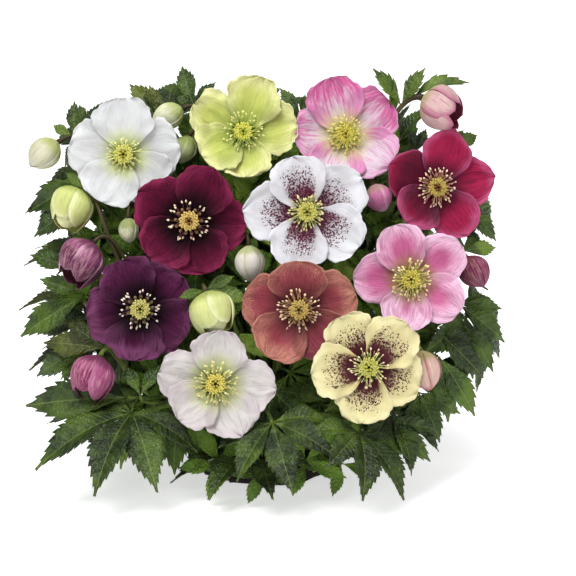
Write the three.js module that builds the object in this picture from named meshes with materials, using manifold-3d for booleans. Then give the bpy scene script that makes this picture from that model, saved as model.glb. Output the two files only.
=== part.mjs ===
// A hellebore clump in flower, lifted with its root ball and standing on it.
// Millimetres, +Z up. The origin is the middle of the root ball's flat foot, and -Y is the clump's face.
// Every stem and leaf stalk stands in its own plain hole in the soil; the blooms and buds sit on their stems.
import * as THREE from "three";
import Module from "manifold-3d";

const wasm = await Module();
wasm.setup();

// ---- Driving dimensions -------------------------------------------------------------------------------
const GAP = 0.35; // clear space between pieces that touch
const FINEST = 0.04; // no edge is left much shorter than this
// The root ball: its rings as radius and height, how unevenly they run, and how deep the stems stand in it.
const BALL = {
  rings: [[55, 0], [61, 9], [59, 20], [51, 27]], height: 30, sides: 13, uneven: 0.06, depth: 15,
};
// Stems and stalks: foot and neck are their radii, lift is how much of their height they climb before they
// bend, and hook is how far they run in line with what they carry.
const STEM = { sides: 4, steps: 7, foot: 2.6, neck: 1.8, lift: 0.5, hook: 32 };
const TWIG = { sides: 3, steps: 4, foot: 1.2, neck: 1.3, lift: 0.45, hook: 30 };
const STALK = { sides: 3, steps: 4, foot: 2.4, neck: 1.4, lift: 0.5, least: 14, hook: 18, inward: 0.3 };
const NEST = { thinner: 0.35, higher: 1.5 }; // how the second and third stalk of a shoot start inside the first
const BLADE = 0.8; // thickness of a leaf blade
// A leaf, as shares of a leaflet's length; into is how far its stalk runs on under the middle leaflet.
const LEAF = { width: 0.185, rib: 0.5, fold: 0.22, rise: 0.2, droop: 0.42, notch: 0.11, into: 0.14 };
const UNDER = 1.8; // how far under the hub a stalk comes in
const BRACT = { size: 32, droop: 0.34 };
const SEPAL = { thick: 0.8, layer: 1.1, curl: 1.2, claw: 0.04, widest: 0.58, rows: [0.36, 0.66, 0.9] };
const HUB = { radius: 7, below: -4, rim: -0.6, above: 6.4, neck: 2.2, sides: 5 }; // what the sepals grow from
// The boss in a bloom: the core's rings as radius and height, then the stamens.
const BOSS = { rings: [[5.6, 0], [8, 3], [4, 7.5]], height: 9, sides: 7 };
const STAMEN = { count: 10, root: 4, from: 2.5, low: 3, scatter: 4.5, reach: 16.5, neck: 0.86, anther: 1.5 };
const BUD = { sides: 10, core: 0.4 }; // core is how deep an open bud is hollow

const rad = THREE.MathUtils.degToRad;
const point = (x, y, z) => new THREE.Vector3(x, y, z);
const UP = point(0, 0, 1);

// The same draw between 0 and 1 each time for one seed and one index.
function draw(seed, index) {
  const wave = Math.sin(seed * 127.1 + index * 311.7) * 43758.5453;
  return wave - Math.floor(wave);
}

// ---- Layout -------------------------------------------------------------------------------------------
// Blooms: at is the middle of the sepals' base; yaw turns the face towards +X and pitch tips it up, in
// degrees; width is a sepal's half width, cup the bowl's depth and point how sharply a sepal ends; sepals
// lists each one's direction in degrees and its reach.
const BLOOMS = [
  {
    name: "white", at: [-102, -10, 241], yaw: -4, pitch: 14, width: 21, cup: 6, point: 0.8, colour: 0xf2f1ea,
    heart: 0xb9c04a, sepals: [[12, 41], [92, 41], [171, 41], [245, 38], [314, 37]],
  },
  {
    name: "lime", at: [-16, 6, 253], yaw: 2, pitch: 24, width: 19, cup: 12, point: 0.9, colour: 0xcbd876,
    heart: 0xd2cf3c, sepals: [[8, 40], [72, 42], [150, 41], [212, 36], [272, 35]],
  },
  {
    name: "streaked", at: [59, 11, 250], yaw: 4, pitch: 24, width: 20, cup: 11, point: 0.8, colour: 0xd987b5,
    heart: 0xc9c04a, sepals: [[38, 42], [106, 43], [176, 37], [250, 38], [324, 40]],
  },
  {
    name: "red", at: [125, -4, 215], yaw: 12, pitch: 14, width: 18, cup: 9, point: 1.5, colour: 0x9c1f43,
    heart: 0xd8bf66, sepals: [[8, 46], [71, 45], [153, 40], [222, 36], [302, 42]],
  },
  {
    name: "burgundy", at: [-55, -40, 198], yaw: 5, pitch: 15, width: 20, cup: 6, point: 1.2, colour: 0x5a1130,
    heart: 0xd9bb55, sepals: [[-3, 43], [63, 42], [150, 42], [221, 39], [290, 40]],
  },
  {
    name: "spotted", at: [31, -45, 206], yaw: 0, pitch: 14, width: 20, cup: 7, point: 1.0, colour: 0xefeef0,
    heart: 0xa7b43c, sepals: [[31, 46], [106, 41], [180, 46], [255, 41], [327, 45]],
  },
  {
    name: "pink", at: [106, -50, 157], yaw: 0, pitch: 15, width: 17.5, cup: 10, point: 1.0, colour: 0xd173a5,
    heart: 0xcdc23f, sepals: [[35, 44], [107, 41], [178, 42], [261, 37], [328, 42]],
  },
  {
    name: "purple", at: [-89, -65, 139], yaw: 2, pitch: 15, width: 20, cup: 5, point: 0.9, colour: 0x451543,
    heart: 0xcfc765, sepals: [[40, 38], [113, 38], [190, 39], [262, 37], [328, 38]],
  },
  {
    name: "rose", at: [25, -72, 141], yaw: 0, pitch: 12, width: 20, cup: 8, point: 1.1, colour: 0xa8525c,
    heart: 0xd3b54f, sepals: [[17, 42], [92, 35], [168, 41], [236, 40], [308, 38]],
  },
  {
    name: "cream", at: [74, -95, 105], yaw: 2, pitch: 13, width: 19, cup: 6, point: 0.9, colour: 0xe9e2a0,
    heart: 0xbac53f, sepals: [[-22, 39], [47, 41], [121, 41], [186, 41], [262, 40]],
  },
  {
    name: "blush", at: [-34, -100, 94], yaw: 1, pitch: 15, width: 18.5, cup: 9, point: 1.1, colour: 0xe6dde0,
    heart: 0xd0c14a, sepals: [[-4, 43], [84, 38], [168, 41], [222, 36], [298, 41]],
  },
];

// Buds: at is the base of the bud, yaw and pitch are the way its tip points, open is how far it has parted.
const BUDS = [
  {
    name: "bud_ivory", at: [-152, -2, 249], yaw: -69, pitch: -36,
    length: 27, radius: 11, open: 0, colour: 0xe6e6d2,
  },
  {
    name: "bud_cream", at: [-61, 15, 271], yaw: -77, pitch: -27,
    length: 25, radius: 9.5, open: 0, colour: 0xdfe3bd,
  },
  {
    name: "bud_green", at: [-56, 16, 250], yaw: -49, pitch: -63,
    length: 21, radius: 8.5, open: 0, colour: 0xbfcf86,
  },
  {
    name: "bud_lime_bell", at: [-136, -12, 217], yaw: -39, pitch: -56,
    length: 33, radius: 16, open: 0.55, colour: 0xd2db7a,
  },
  {
    name: "bud_small", at: [-99, -33, 199], yaw: 5, pitch: -76,
    length: 18, radius: 7, open: 0, colour: 0xcfd6a8,
  },
  {
    name: "bud_plum_bell", at: [-124, -40, 182], yaw: -56, pitch: -48,
    length: 34, radius: 16.5, open: 0.6, colour: 0x8e2f62,
  },
  {
    name: "bud_magenta_bell", at: [-118, -76, 107], yaw: -41, pitch: -59,
    length: 34, radius: 15.5, open: 0.5, colour: 0xa23a70,
  },
  {
    name: "bud_pale", at: [-11, -44, 181], yaw: 9, pitch: -73,
    length: 26, radius: 10.5, open: 0, colour: 0xe0ddd0,
  },
  {
    name: "bud_green_bell", at: [-41, -81, 156], yaw: 31, pitch: -56,
    length: 32, radius: 16, open: 0.55, colour: 0xcbd97c,
  },
  {
    name: "bud_pink_bell", at: [117, 10, 280], yaw: 63, pitch: -24,
    length: 33, radius: 15.5, open: 0.5, colour: 0xc98a9a,
  },
  {
    name: "bud_rosy", at: [80, -12, 219], yaw: 49, pitch: -59,
    length: 21, radius: 9.5, open: 0, colour: 0xc76f98,
  },
  {
    name: "bud_wine", at: [148, -27, 168], yaw: 55, pitch: -53,
    length: 25, radius: 11.5, open: 0, colour: 0x7c2a50,
  },
  {
    name: "bud_peach", at: [112, -80, 112], yaw: 36, pitch: -66,
    length: 29, radius: 11.5, open: 0, colour: 0xcf9c90,
  },
];

// Flower stems: root is where one leaves the soil, to is the bloom or bud it ends in, lean moves its middle.
// A stem has seven joints: each twig leaves it at one of them for one more bloom or bud, and each bract
// stands at one, pointing round the clump and up by those degrees.
const STEMS = [
  {
    name: "stem_white", root: [-22, 4], to: "white", lean: [-10, 6],
    twigs: [["bud_ivory", 5]], bracts: [[5, 60, 50]],
  },
  {
    name: "stem_lime", root: [-6, 16], to: "lime", lean: [-4, 8],
    twigs: [["bud_cream", 5], ["bud_green", 4]], bracts: [[5, 130, 34]],
  },
  {
    name: "stem_streaked", root: [14, 18], to: "streaked", lean: [2, 8],
    twigs: [["bud_rosy", 4]], bracts: [[5, 15, 34]],
  },
  {
    name: "stem_red", root: [27, 6], to: "bud_pink_bell", lean: [20, 6],
    twigs: [["red", 5]], bracts: [[6, 140, 52], [6, 80, 70], [6, 30, 36]],
  },
  {
    name: "stem_burgundy", root: [-11, -6], to: "burgundy", lean: [-2, 10],
    twigs: [["bud_pale", 4]], bracts: [[5, 20, 34]],
  },
  {
    name: "stem_spotted", root: [5, 2], to: "spotted", lean: [2, 12],
    twigs: [], bracts: [[5, 170, 34]],
  },
  {
    name: "stem_pink", root: [23, -12], to: "pink", lean: [10, 10],
    twigs: [["bud_wine", 5]], bracts: [[5, 60, 34]],
  },
  {
    name: "stem_purple", root: [-26, -16], to: "purple", lean: [-8, 4],
    twigs: [["bud_plum_bell", 5]], bracts: [[5, 170, 34]],
  },
  {
    name: "stem_rose", root: [5, -18], to: "rose", lean: [2, 4],
    twigs: [], bracts: [[5, 20, 34]],
  },
  {
    name: "stem_cream", root: [19, -32], to: "cream", lean: [6, 8],
    twigs: [["bud_peach", 4]], bracts: [[4, 10, 34]],
  },
  {
    name: "stem_blush", root: [-15, -32], to: "blush", lean: [-2, 6],
    twigs: [["bud_green_bell", 3], ["bud_magenta_bell", 2]], bracts: [[3, 150, 34]],
  },
  {
    name: "stem_bell", root: [-36, -4], to: "bud_lime_bell", lean: [-6, 12],
    twigs: [["bud_small", 4]], bracts: [[5, 215, 20]],
  },
];

// Leaves, one to three on each shoot. hub is where the leaflets meet; facing is the way the middle leaflet
// points round the clump, slope tips the blade up and roll tilts it sideways; size is the middle leaflet's
// length, and lean moves the middle of its stalk. A plain leaf, one of those inside the clump or behind it,
// has one saw tooth a side where the others have two.
const SHOOTS = [
  {
    name: "leaves_1", root: [-34, -24], leaves: [
      { hub: [-95, -86, 67], facing: 205, slope: -13, roll: -17, size: 74, fingers: 7 },
      { hub: [-121, -20, 98], facing: 195, slope: -2, roll: -4, size: 56, fingers: 5 },
    ],
  },
  {
    name: "leaves_2", root: [-4, -46], leaves: [
      { hub: [6, -110, 68], facing: 286, slope: -30, roll: 20, size: 56, fingers: 5 },
      { hub: [-7, -73, 33], facing: 240, slope: -3, roll: 4, size: 66, fingers: 5 },
    ],
  },
  {
    name: "leaves_3", root: [30, -38], leaves: [
      { hub: [68, -102, 58], facing: 322, slope: -36, roll: 1, size: 54, fingers: 7 },
      { hub: [90, -72, 66], facing: 300, slope: -40, roll: -10, size: 54, fingers: 5 },
    ],
  },
  {
    name: "leaves_4", root: [44, -14], leaves: [
      { hub: [148, -20, 122], facing: 334, slope: -66, roll: 12, size: 68, fingers: 7 },
      { hub: [120, 50, 136], facing: 25, slope: -4, roll: 0, size: 60, fingers: 5, plain: true },
    ],
  },
  {
    name: "leaves_5", root: [46, 8], leaves: [
      { hub: [146, 34, 209], facing: 24, slope: -42, roll: 60, size: 64, fingers: 5 },
      { hub: [92, 36, 166], facing: 72, slope: 58, roll: 0, size: 58, fingers: 5, plain: true },
    ],
  },
  {
    name: "leaves_6", root: [36, 26], leaves: [
      { hub: [99, 47, 233], facing: 75, slope: 60, roll: -45, size: 52, fingers: 5, plain: true },
      { hub: [75, 92, 112], facing: 50, slope: -8, roll: 0, size: 62, fingers: 5, plain: true },
    ],
  },
  {
    name: "leaves_7", root: [12, 40], leaves: [
      { hub: [-3, 57, 248], facing: 79, slope: 36, roll: -20, size: 54, fingers: 5, lean: [-16, 18] },
      { hub: [5, 106, 86], facing: 90, slope: -8, roll: 0, size: 64, fingers: 5, plain: true },
    ],
  },
  {
    name: "leaves_8", root: [-14, 38], leaves: [
      { hub: [-74, 46, 253], facing: 86, slope: 40, roll: -8, size: 60, fingers: 5 },
      { hub: [-66, 92, 110], facing: 128, slope: -8, roll: 0, size: 62, fingers: 5, plain: true },
      { hub: [-32, 46, 150], facing: 98, slope: 68, roll: 0, size: 54, fingers: 5, plain: true },
    ],
  },
  {
    name: "leaves_9", root: [-34, 26], leaves: [
      { hub: [-133, 22, 244], facing: 114, slope: 39, roll: -48, size: 52, fingers: 5, plain: true },
      { hub: [-90, 22, 170], facing: 106, slope: 72, roll: 0, size: 54, fingers: 5, plain: true },
    ],
  },
  {
    name: "leaves_10", root: [-46, 10], leaves: [
      { hub: [-142, 24, 207], facing: 165, slope: -40, roll: 28, size: 52, fingers: 5, lean: [-4, 14] },
      { hub: [-130, 11, 160], facing: 150, slope: 10, roll: -5, size: 54, fingers: 5 },
    ],
  },
  {
    name: "leaves_11", root: [-48, -12], leaves: [
      { hub: [-138, -2, 129], facing: 178, slope: 2, roll: -8, size: 50, fingers: 5 },
    ],
  },
  {
    name: "leaves_12", root: [2, 30], leaves: [
      { hub: [32, 53, 180], facing: 86, slope: 68, roll: 0, size: 52, fingers: 5, plain: true },
      { hub: [46, 46, 128], facing: 82, slope: 66, roll: 0, size: 60, fingers: 5, plain: true },
    ],
  },
];

// ---- Solids from points --------------------------------------------------------------------------------
// A closed body from its points and triangles, turned to face outwards.
function closed(points, faces) {
  const volume = faces.reduce((sum, [a, b, c]) => sum + points[a].dot(points[b].clone().cross(points[c])), 0);
  const turned = volume < 0 ? faces.map(([a, b, c]) => [a, c, b]) : faces;
  const flat = points.flatMap((p) => [p.x, p.y, p.z]);
  return new wasm.Manifold(new wasm.Mesh({
    numProp: 3,
    vertProperties: new Float32Array(flat),
    triVerts: new Uint32Array(turned.flat()),
  }));
}

// A body through rings of points. A ring of one point is a tip, and any other end is closed flat.
function loft(rings) {
  const points = rings.flat();
  const faces = [];
  const sides = Math.max(...rings.map((ring) => ring.length));
  let start = 0;
  for (let r = 0; r + 1 < rings.length; r++) {
    const here = rings[r].length;
    const next = start + here;
    for (let i = 0; i < sides; i++) {
      const j = (i + 1) % sides;
      if (here > 1 && rings[r + 1].length > 1) {
        faces.push([start + i, start + j, next + i], [start + j, next + j, next + i]);
      } else if (here > 1) {
        faces.push([start + i, start + j, next]);
      } else {
        faces.push([start, next + j, next + i]);
      }
    }
    start = next;
  }
  const close = (first, flip) => {
    for (let i = 1; i + 1 < sides; i++) {
      faces.push(flip ? [first, first + i + 1, first + i] : [first, first + i, first + i + 1]);
    }
  };
  if (rings[0].length > 1) close(0, true);
  if (rings.at(-1).length > 1) close(start, false);
  return closed(points, faces);
}

// A thin blade: a sheet of triangles given its thickness along its own normals, split alike on both faces.
function blade(points, faces, rim, thickness) {
  const normals = points.map(() => point(0, 0, 0));
  for (const [a, b, c] of faces) {
    const across = points[b].clone().sub(points[a]).cross(points[c].clone().sub(points[a]));
    [a, b, c].forEach((i) => normals[i].add(across));
  }
  const side = (sign) =>
    points.map((p, i) => p.clone().addScaledVector(normals[i].clone().normalize(), (sign * thickness) / 2));
  const n = points.length;
  const all = [...side(1), ...side(-1)];
  const skin = [...faces, ...faces.map(([a, b, c]) => [a + n, c + n, b + n])];
  rim.forEach((a, i) => {
    const b = rim[(i + 1) % rim.length];
    skin.push([a, a + n, b], [b, a + n, b + n]);
  });
  return closed(all, skin);
}

// Rings along a curve, for a tube that narrows evenly from one end to the other.
function ringsAlong(curve, { sides, steps, foot, neck }) {
  const { normals, binormals } = curve.computeFrenetFrames(steps, false);
  return Array.from({ length: steps + 1 }, (_, i) => {
    const centre = curve.getPointAt(i / steps);
    const radius = THREE.MathUtils.lerp(foot, neck, i / steps);
    return Array.from({ length: sides }, (_, k) => {
      const turn = (2 * Math.PI * k) / sides;
      return centre
        .clone()
        .addScaledVector(normals[i], radius * Math.cos(turn))
        .addScaledVector(binormals[i], radius * Math.sin(turn));
    });
  });
}

const tube = (curve, size) => loft(ringsAlong(curve, size));

// The rings of a tube whose foot stands straight down into the soil, its end raised by this much.
function planted(curve, size, raised = 0) {
  const rings = ringsAlong(curve, size);
  return [rings[0].map((p) => p.clone().setZ(BALL.height - BALL.depth + raised)), ...rings];
}

// Smooths away the specks that a join or a cut leaves where surfaces all but meet.
const clean = (solid) => solid.asOriginal().simplify(FINEST);

const union = (solids) => clean(solids.reduce((sum, solid) => sum.add(solid)));

// ---- Directions and curves ------------------------------------------------------------------------------
// The direction outwards at an angle round the clump, tipped up by slope.
const outward = (around, slope) =>
  point(1, 0, 0).applyEuler(new THREE.Euler(0, -rad(slope), rad(around), "ZYX"));

// A place for a bloom or a bud: its own +Z is the way it looks and its +Y runs up its face.
function placeFor({ at, yaw, pitch }) {
  const place = new THREE.Group();
  place.position.set(...at);
  place.rotation.set(rad(90 - pitch), 0, rad(yaw), "ZYX");
  place.updateMatrixWorld();
  return place;
}

// A stalk's or stem's curve: straight up out of the soil, then over to its end, which it meets along from.
function rise(root, lean, lift, end, from, raised = 0) {
  const start = point(root[0], root[1], BALL.height + 1 + raised);
  const climb = start.clone().add(point(lean[0], lean[1], lift));
  return new THREE.CubicBezierCurve3(start, climb, end.clone().add(from), end);
}

// ---- Leaves --------------------------------------------------------------------------------------------
// Half of an outline, as shares of the length and of the half width: a narrow foot, then forward saw teeth.
const SERRATE = [[0.26, 0.42], [0.48, 0.84], [0.53, 0.7], [0.68, 1.0], [0.73, 0.68]];
const PLAIN = [[0.3, 0.52], [0.6, 1.0], [0.66, 0.74]];
const BRACT_EDGE = [[0.3, 0.8], [0.66, 0.85]];
const SPREAD = { 1: 0, 5: 172, 7: 234 }; // degrees between the outer leaflets

// A leaf's leaflets, fanned out: no two run at quite the same angle, length or droop.
function leaflets({ size, fingers, seed, droop = LEAF.droop }) {
  return Array.from({ length: fingers }, (_, i) => {
    const off = fingers > 1 ? (2 * i) / (fingers - 1) - 1 : 0;
    return {
      angle: (off * rad(SPREAD[fingers])) / 2 + rad(2) * (draw(seed, i) - 0.5),
      length: size * (1 - 0.26 * off * off) * (0.94 + 0.12 * draw(seed, i + 20)),
      drop: droop * (1 + Math.abs(off) * (draw(seed, i + 40) - 0.5)),
    };
  });
}

// A fan of leaflets round a hub, as one arched sheet.
function leafBlade(spec) {
  const { hub, forward, normal, size, fingers, outline } = spec;
  const side = normal.clone().cross(forward);
  const points = [hub.clone()];
  const faces = [];
  const rim = [0];
  const put = (along, sideways, height) => {
    const spot = hub.clone().addScaledVector(forward, along).addScaledVector(side, sideways);
    return points.push(spot.addScaledVector(normal, height)) - 1;
  };
  // A point of a leaflet at share s of its length, sideways by e.
  const place = ({ angle, length, drop }, s, e) => {
    const along = s * length;
    return put(
      along * Math.cos(angle) - e * Math.sin(angle),
      along * Math.sin(angle) + e * Math.cos(angle),
      length * (LEAF.rise * s - drop * s * s) + LEAF.fold * Math.abs(e),
    );
  };
  // The notch between two leaflets, close to the hub.
  const notch = (angle) => {
    const away = size * LEAF.notch;
    return put(away * Math.cos(angle), away * Math.sin(angle), away * LEAF.rise);
  };
  const fan = leaflets(spec);
  const edge = fingers > 1 ? rad(SPREAD[fingers]) / 2 / (fingers - 1) : rad(40);
  let left = notch(fan[0].angle - edge);
  rim.push(left);
  fan.forEach((leaflet, i) => {
    const half = LEAF.width * leaflet.length;
    const rib = place(leaflet, LEAF.rib, 0);
    const near = outline.map(([s, w]) => place(leaflet, s, -w * half));
    const tip = place(leaflet, 1, 0);
    const far = outline.map(([s, w]) => place(leaflet, s, w * half)).reverse();
    const right = notch(i + 1 < fingers ? (leaflet.angle + fan[i + 1].angle) / 2 : leaflet.angle + edge);
    const loop = [0, left, ...near, tip, ...far, right];
    loop.forEach((a, k) => faces.push([rib, a, loop[(k + 1) % loop.length]]));
    rim.push(...near, tip, ...far, right);
    left = right;
  });
  return blade(points, faces, rim, BLADE);
}

// Leaf k of a shoot: its blade, and the stalk that runs in under the foot of the middle leaflet.
function leaf(root, spec, k, seed) {
  const { hub, facing, slope, roll, size, fingers, plain, lean = [0, 0] } = spec;
  const centre = point(...hub);
  const forward = outward(facing, slope);
  const normal = outward(facing, slope + 90).applyAxisAngle(forward, rad(roll));
  const back = point(root[0] - centre.x, root[1] - centre.y, 0).multiplyScalar(STALK.inward);
  const from = back.addScaledVector(forward, -STALK.hook);
  const end = centre.clone().addScaledVector(normal, -UNDER);
  const tip = centre.clone().addScaledVector(forward, LEAF.into * size);
  const raised = k * NEST.higher;
  const curve = rise(root, lean, Math.max(STALK.least, STALK.lift * centre.z), end, from, raised);
  const thickness = { ...STALK, foot: STALK.foot - k * NEST.thinner };
  return union([
    loft([...planted(curve, thickness, raised), [tip]]),
    leafBlade({ hub: centre, forward, normal, size, fingers, seed, outline: plain ? PLAIN : SERRATE }),
  ]);
}

// ---- Blooms, each about its own +Z ---------------------------------------------------------------------
const LAYERS = [0, 3, 1, 4, 2]; // which sepal lies under which, so that no two neighbours share a layer

// A point by its distance from the axis, the angle round it and the height along it.
const polar = (away, angle, height) => point(away * Math.cos(angle), away * Math.sin(angle), height);

// A ring of points round the axis.
const ringOf = (sides, away, height) =>
  Array.from({ length: sides }, (_, i) => polar(away, (2 * Math.PI * i) / sides, height));

// Half width of a sepal as a share of its widest: a narrow claw, widest past the middle, and a round tip.
function sepalShape(s, sharpness) {
  if (s < SEPAL.widest) return 0.25 + 0.75 * Math.sin((Math.PI / 2) * (s / SEPAL.widest));
  const beyond = (s - SEPAL.widest) / (1 - SEPAL.widest);
  return Math.sqrt(Math.max(0, 1 - beyond ** 2)) ** sharpness;
}

function sepal(bloom, k) {
  const [direction, length] = bloom.sepals[k];
  const lift = LAYERS[k] * SEPAL.layer;
  const curl = (LAYERS[k] - 2) * SEPAL.curl;
  // A point at share s of the sepal's length and share t of its half width, on the bloom's bowl.
  const put = (s, t) => {
    const along = s * length;
    const aside = t * bloom.width * sepalShape(s, bloom.point);
    const away = Math.hypot(along, aside);
    const bowl = bloom.cup * (away / length) ** 1.5 + 0.1 * Math.abs(aside);
    return polar(away, rad(direction) + Math.atan2(aside, along), bowl + lift + curl * s * s);
  };
  const strip = SEPAL.rows.flatMap((s) => [put(s, -1), put(s, 0), put(s, 1)]);
  const points = [put(SEPAL.claw, 0), ...strip, put(1, 0)];
  const rows = SEPAL.rows.map((_, r) => 1 + 3 * r);
  const last = rows.at(-1);
  const tip = last + 3;
  const faces = [[0, 2, 1], [0, 3, 2], [last, last + 1, tip], [last + 1, last + 2, tip]];
  for (const row of rows.slice(0, -1)) {
    faces.push([row, row + 1, row + 3], [row + 1, row + 4, row + 3]);
    faces.push([row + 1, row + 2, row + 4], [row + 2, row + 5, row + 4]);
  }
  const rim = [0, ...rows.map((a) => a + 2), tip, ...rows.reverse()];
  return blade(points, faces, rim, SEPAL.thick);
}

// The five sepals on their receptacle.
function corolla(bloom) {
  const rings = [[HUB.neck, HUB.below], [HUB.radius, HUB.rim], [HUB.radius, HUB.above]];
  const receptacle = loft(rings.map(([away, height]) => ringOf(HUB.sides, away, height)));
  return union([receptacle, ...bloom.sepals.map((_, k) => sepal(bloom, k))]);
}

// The boss of carpels and stamens, standing on the receptacle.
function boss(bloom, seed) {
  const base = HUB.above + GAP;
  const rings = BOSS.rings.map(([away, height]) => ringOf(BOSS.sides, away, base + height));
  const core = loft([...rings, [point(0, 0, base + BOSS.height)]]);
  const stamens = Array.from({ length: STAMEN.count }, (_, i) => {
    const angle = (2 * Math.PI * (i + 0.6 * draw(seed, i + 60))) / STAMEN.count;
    const reach = STAMEN.reach * (0.8 + 0.2 * draw(seed, i + 80));
    const height = base + STAMEN.low + 0.24 * bloom.cup + STAMEN.scatter * draw(seed, i + 70);
    const neck = STAMEN.neck * reach;
    const anther = ringOf(3, STAMEN.anther, 0).map((p) => polar(neck, angle + p.x / neck, height + p.y));
    const root = polar(STAMEN.root, angle, base + STAMEN.from);
    return loft([[root], anther, [polar(reach, angle, height + 0.6)]]);
  });
  return union([core, ...stamens]);
}

// ---- Buds, each about its own +Z -----------------------------------------------------------------------
// An egg of five lapped sepals. Where it has opened, its mouth is a crown of five tips round a hollow.
function bud({ length, radius, open }) {
  const ring = (share, wide, lap, crown = 0) =>
    Array.from({ length: BUD.sides }, (_, i) => {
      const angle = (2 * Math.PI * i) / BUD.sides;
      const lobe = Math.cos(5 * angle);
      return polar(radius * wide * (1 + lap * lobe), angle, length * (share + crown * lobe));
    });
  const on = (share) => [point(0, 0, length * share)];
  const wall = [on(0), ring(0.1, 0.55, 0.03), ring(0.36, 0.96, 0.05)];
  if (!open) return loft([...wall, ring(0.66, 0.9, 0.07), ring(0.9, 0.44, 0.1), on(1)]);
  const mouth = 0.55 + 0.3 * open;
  const lip = [ring(0.9, mouth + 0.12, 0.04, 0.1), ring(0.84, mouth - 0.02, 0.04, 0.1)];
  return loft([...wall, ring(0.64, 1.0, 0.05), ...lip, on(BUD.core)]);
}

// ---- Flower stems --------------------------------------------------------------------------------------
// Where a stem meets the bloom or bud it carries, and the way it comes in from.
function seat(name) {
  const bloom = BLOOMS.find((b) => b.name === name);
  const place = placeFor(bloom ?? BUDS.find((b) => b.name === name));
  const end = place.localToWorld(point(0, 0, (bloom ? HUB.below : 0) - GAP));
  const hook = bloom ? STEM.hook : TWIG.hook;
  return { end, from: place.getWorldDirection(point(0, 0, 0)).multiplyScalar(-hook) };
}

function flowerStem({ root, to, lean, twigs, bracts }, seed) {
  const { end, from } = seat(to);
  const main = rise(root, lean, STEM.lift * end.z, end, from);
  const joint = (number) => number / STEM.steps;
  const parts = [loft(planted(main, STEM))];
  for (const [name, number] of twigs) {
    const fork = main.getPointAt(joint(number));
    const tip = seat(name);
    const climb = main.getTangentAt(joint(number)).multiplyScalar(TWIG.lift * fork.distanceTo(tip.end));
    const hook = tip.end.clone().add(tip.from);
    parts.push(tube(new THREE.CubicBezierCurve3(fork, fork.clone().add(climb), hook, tip.end), TWIG));
  }
  bracts.forEach(([number, facing, slope], i) => {
    const [forward, normal] = [outward(facing, slope), outward(facing, slope + 90)];
    const hub = main.getPointAt(joint(number));
    const shape = { ...BRACT, fingers: 1, seed: seed + i, outline: BRACT_EDGE };
    parts.push(leafBlade({ hub, forward, normal, ...shape }));
  });
  return union(parts);
}

// ---- Root ball -----------------------------------------------------------------------------------------
// An upright prism's ring round x, y, its flats square to the axes where it has four sides.
const prismRing = (x, y, z, radius, sides) =>
  Array.from({ length: sides }, (_, i) => {
    const angle = (2 * Math.PI * (i + 0.5)) / sides;
    return polar(radius, angle, z).add(point(x, y, 0));
  });

function rootBall(holes) {
  const rings = BALL.rings.map(([away, height], r) =>
    prismRing(0, 0, 0, away, BALL.sides).map((p, i) =>
      p.multiplyScalar(1 + BALL.uneven * (draw(r + 1, i) - 0.5)).setZ(height)));
  const ball = loft([...rings, [point(0, 0, BALL.height)]]);
  const floor = BALL.height - BALL.depth - GAP;
  const drills = holes.map(([[x, y], radius]) =>
    loft([floor, BALL.height + 4].map((z) => prismRing(x, y, z, radius, 4))));
  return clean(ball.subtract(union(drills)));
}

// ---- The clump -----------------------------------------------------------------------------------------
function piece(name, solid, colour, roughness) {
  const made = solid.getMesh();
  const geometry = new THREE.BufferGeometry();
  geometry.setAttribute("position", new THREE.BufferAttribute(made.vertProperties, made.numProp));
  geometry.setIndex(new THREE.BufferAttribute(made.triVerts, 1));
  geometry.computeVertexNormals();
  const material = new THREE.MeshStandardMaterial({ color: colour, roughness, metalness: 0 });
  const mesh = new THREE.Mesh(geometry, material);
  mesh.name = name;
  return mesh;
}

// A square hole that clears a stem of this radius all round.
const holeFor = (root, radius) => [root, Math.SQRT2 * (radius + GAP)];
const holes = [
  ...STEMS.map((stem) => holeFor(stem.root, STEM.foot)),
  ...SHOOTS.map((shoot) => holeFor(shoot.root, STALK.foot)),
];

const foliage = new THREE.Group();
STEMS.forEach((stem, i) => foliage.add(piece(stem.name, flowerStem(stem, 100 + 10 * i), 0x6c7a38, 0.55)));
SHOOTS.forEach(({ name, root, leaves }, i) => {
  const shoot = union(leaves.map((spec, k) => leaf(root, spec, k, 300 + 10 * i + k)));
  foliage.add(piece(name, shoot, 0x35582c, 0.5));
});

const flowers = new THREE.Group();
BLOOMS.forEach((bloom, i) => {
  const sepals = piece(`bloom_${bloom.name}`, corolla(bloom), bloom.colour, 0.6);
  const heart = piece(`boss_${bloom.name}`, boss(bloom, 500 + i), bloom.heart, 0.6);
  flowers.add(placeFor(bloom).add(sepals, heart));
});
BUDS.forEach((spec) => flowers.add(placeFor(spec).add(piece(spec.name, bud(spec), spec.colour, 0.55))));

const clump = new THREE.Group();
clump.add(piece("root_ball", rootBall(holes), 0x241a13, 0.95), foliage, flowers);

export default clump;
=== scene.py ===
"""A hellebore clump in flower, standing on its root ball, dressed in fine sepals, leaves, stems and soil."""

import logging
import math
from dataclasses import dataclass, field
from enum import Enum

import bpy
import numpy as np
from mathutils import Matrix, Vector, noise


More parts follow.
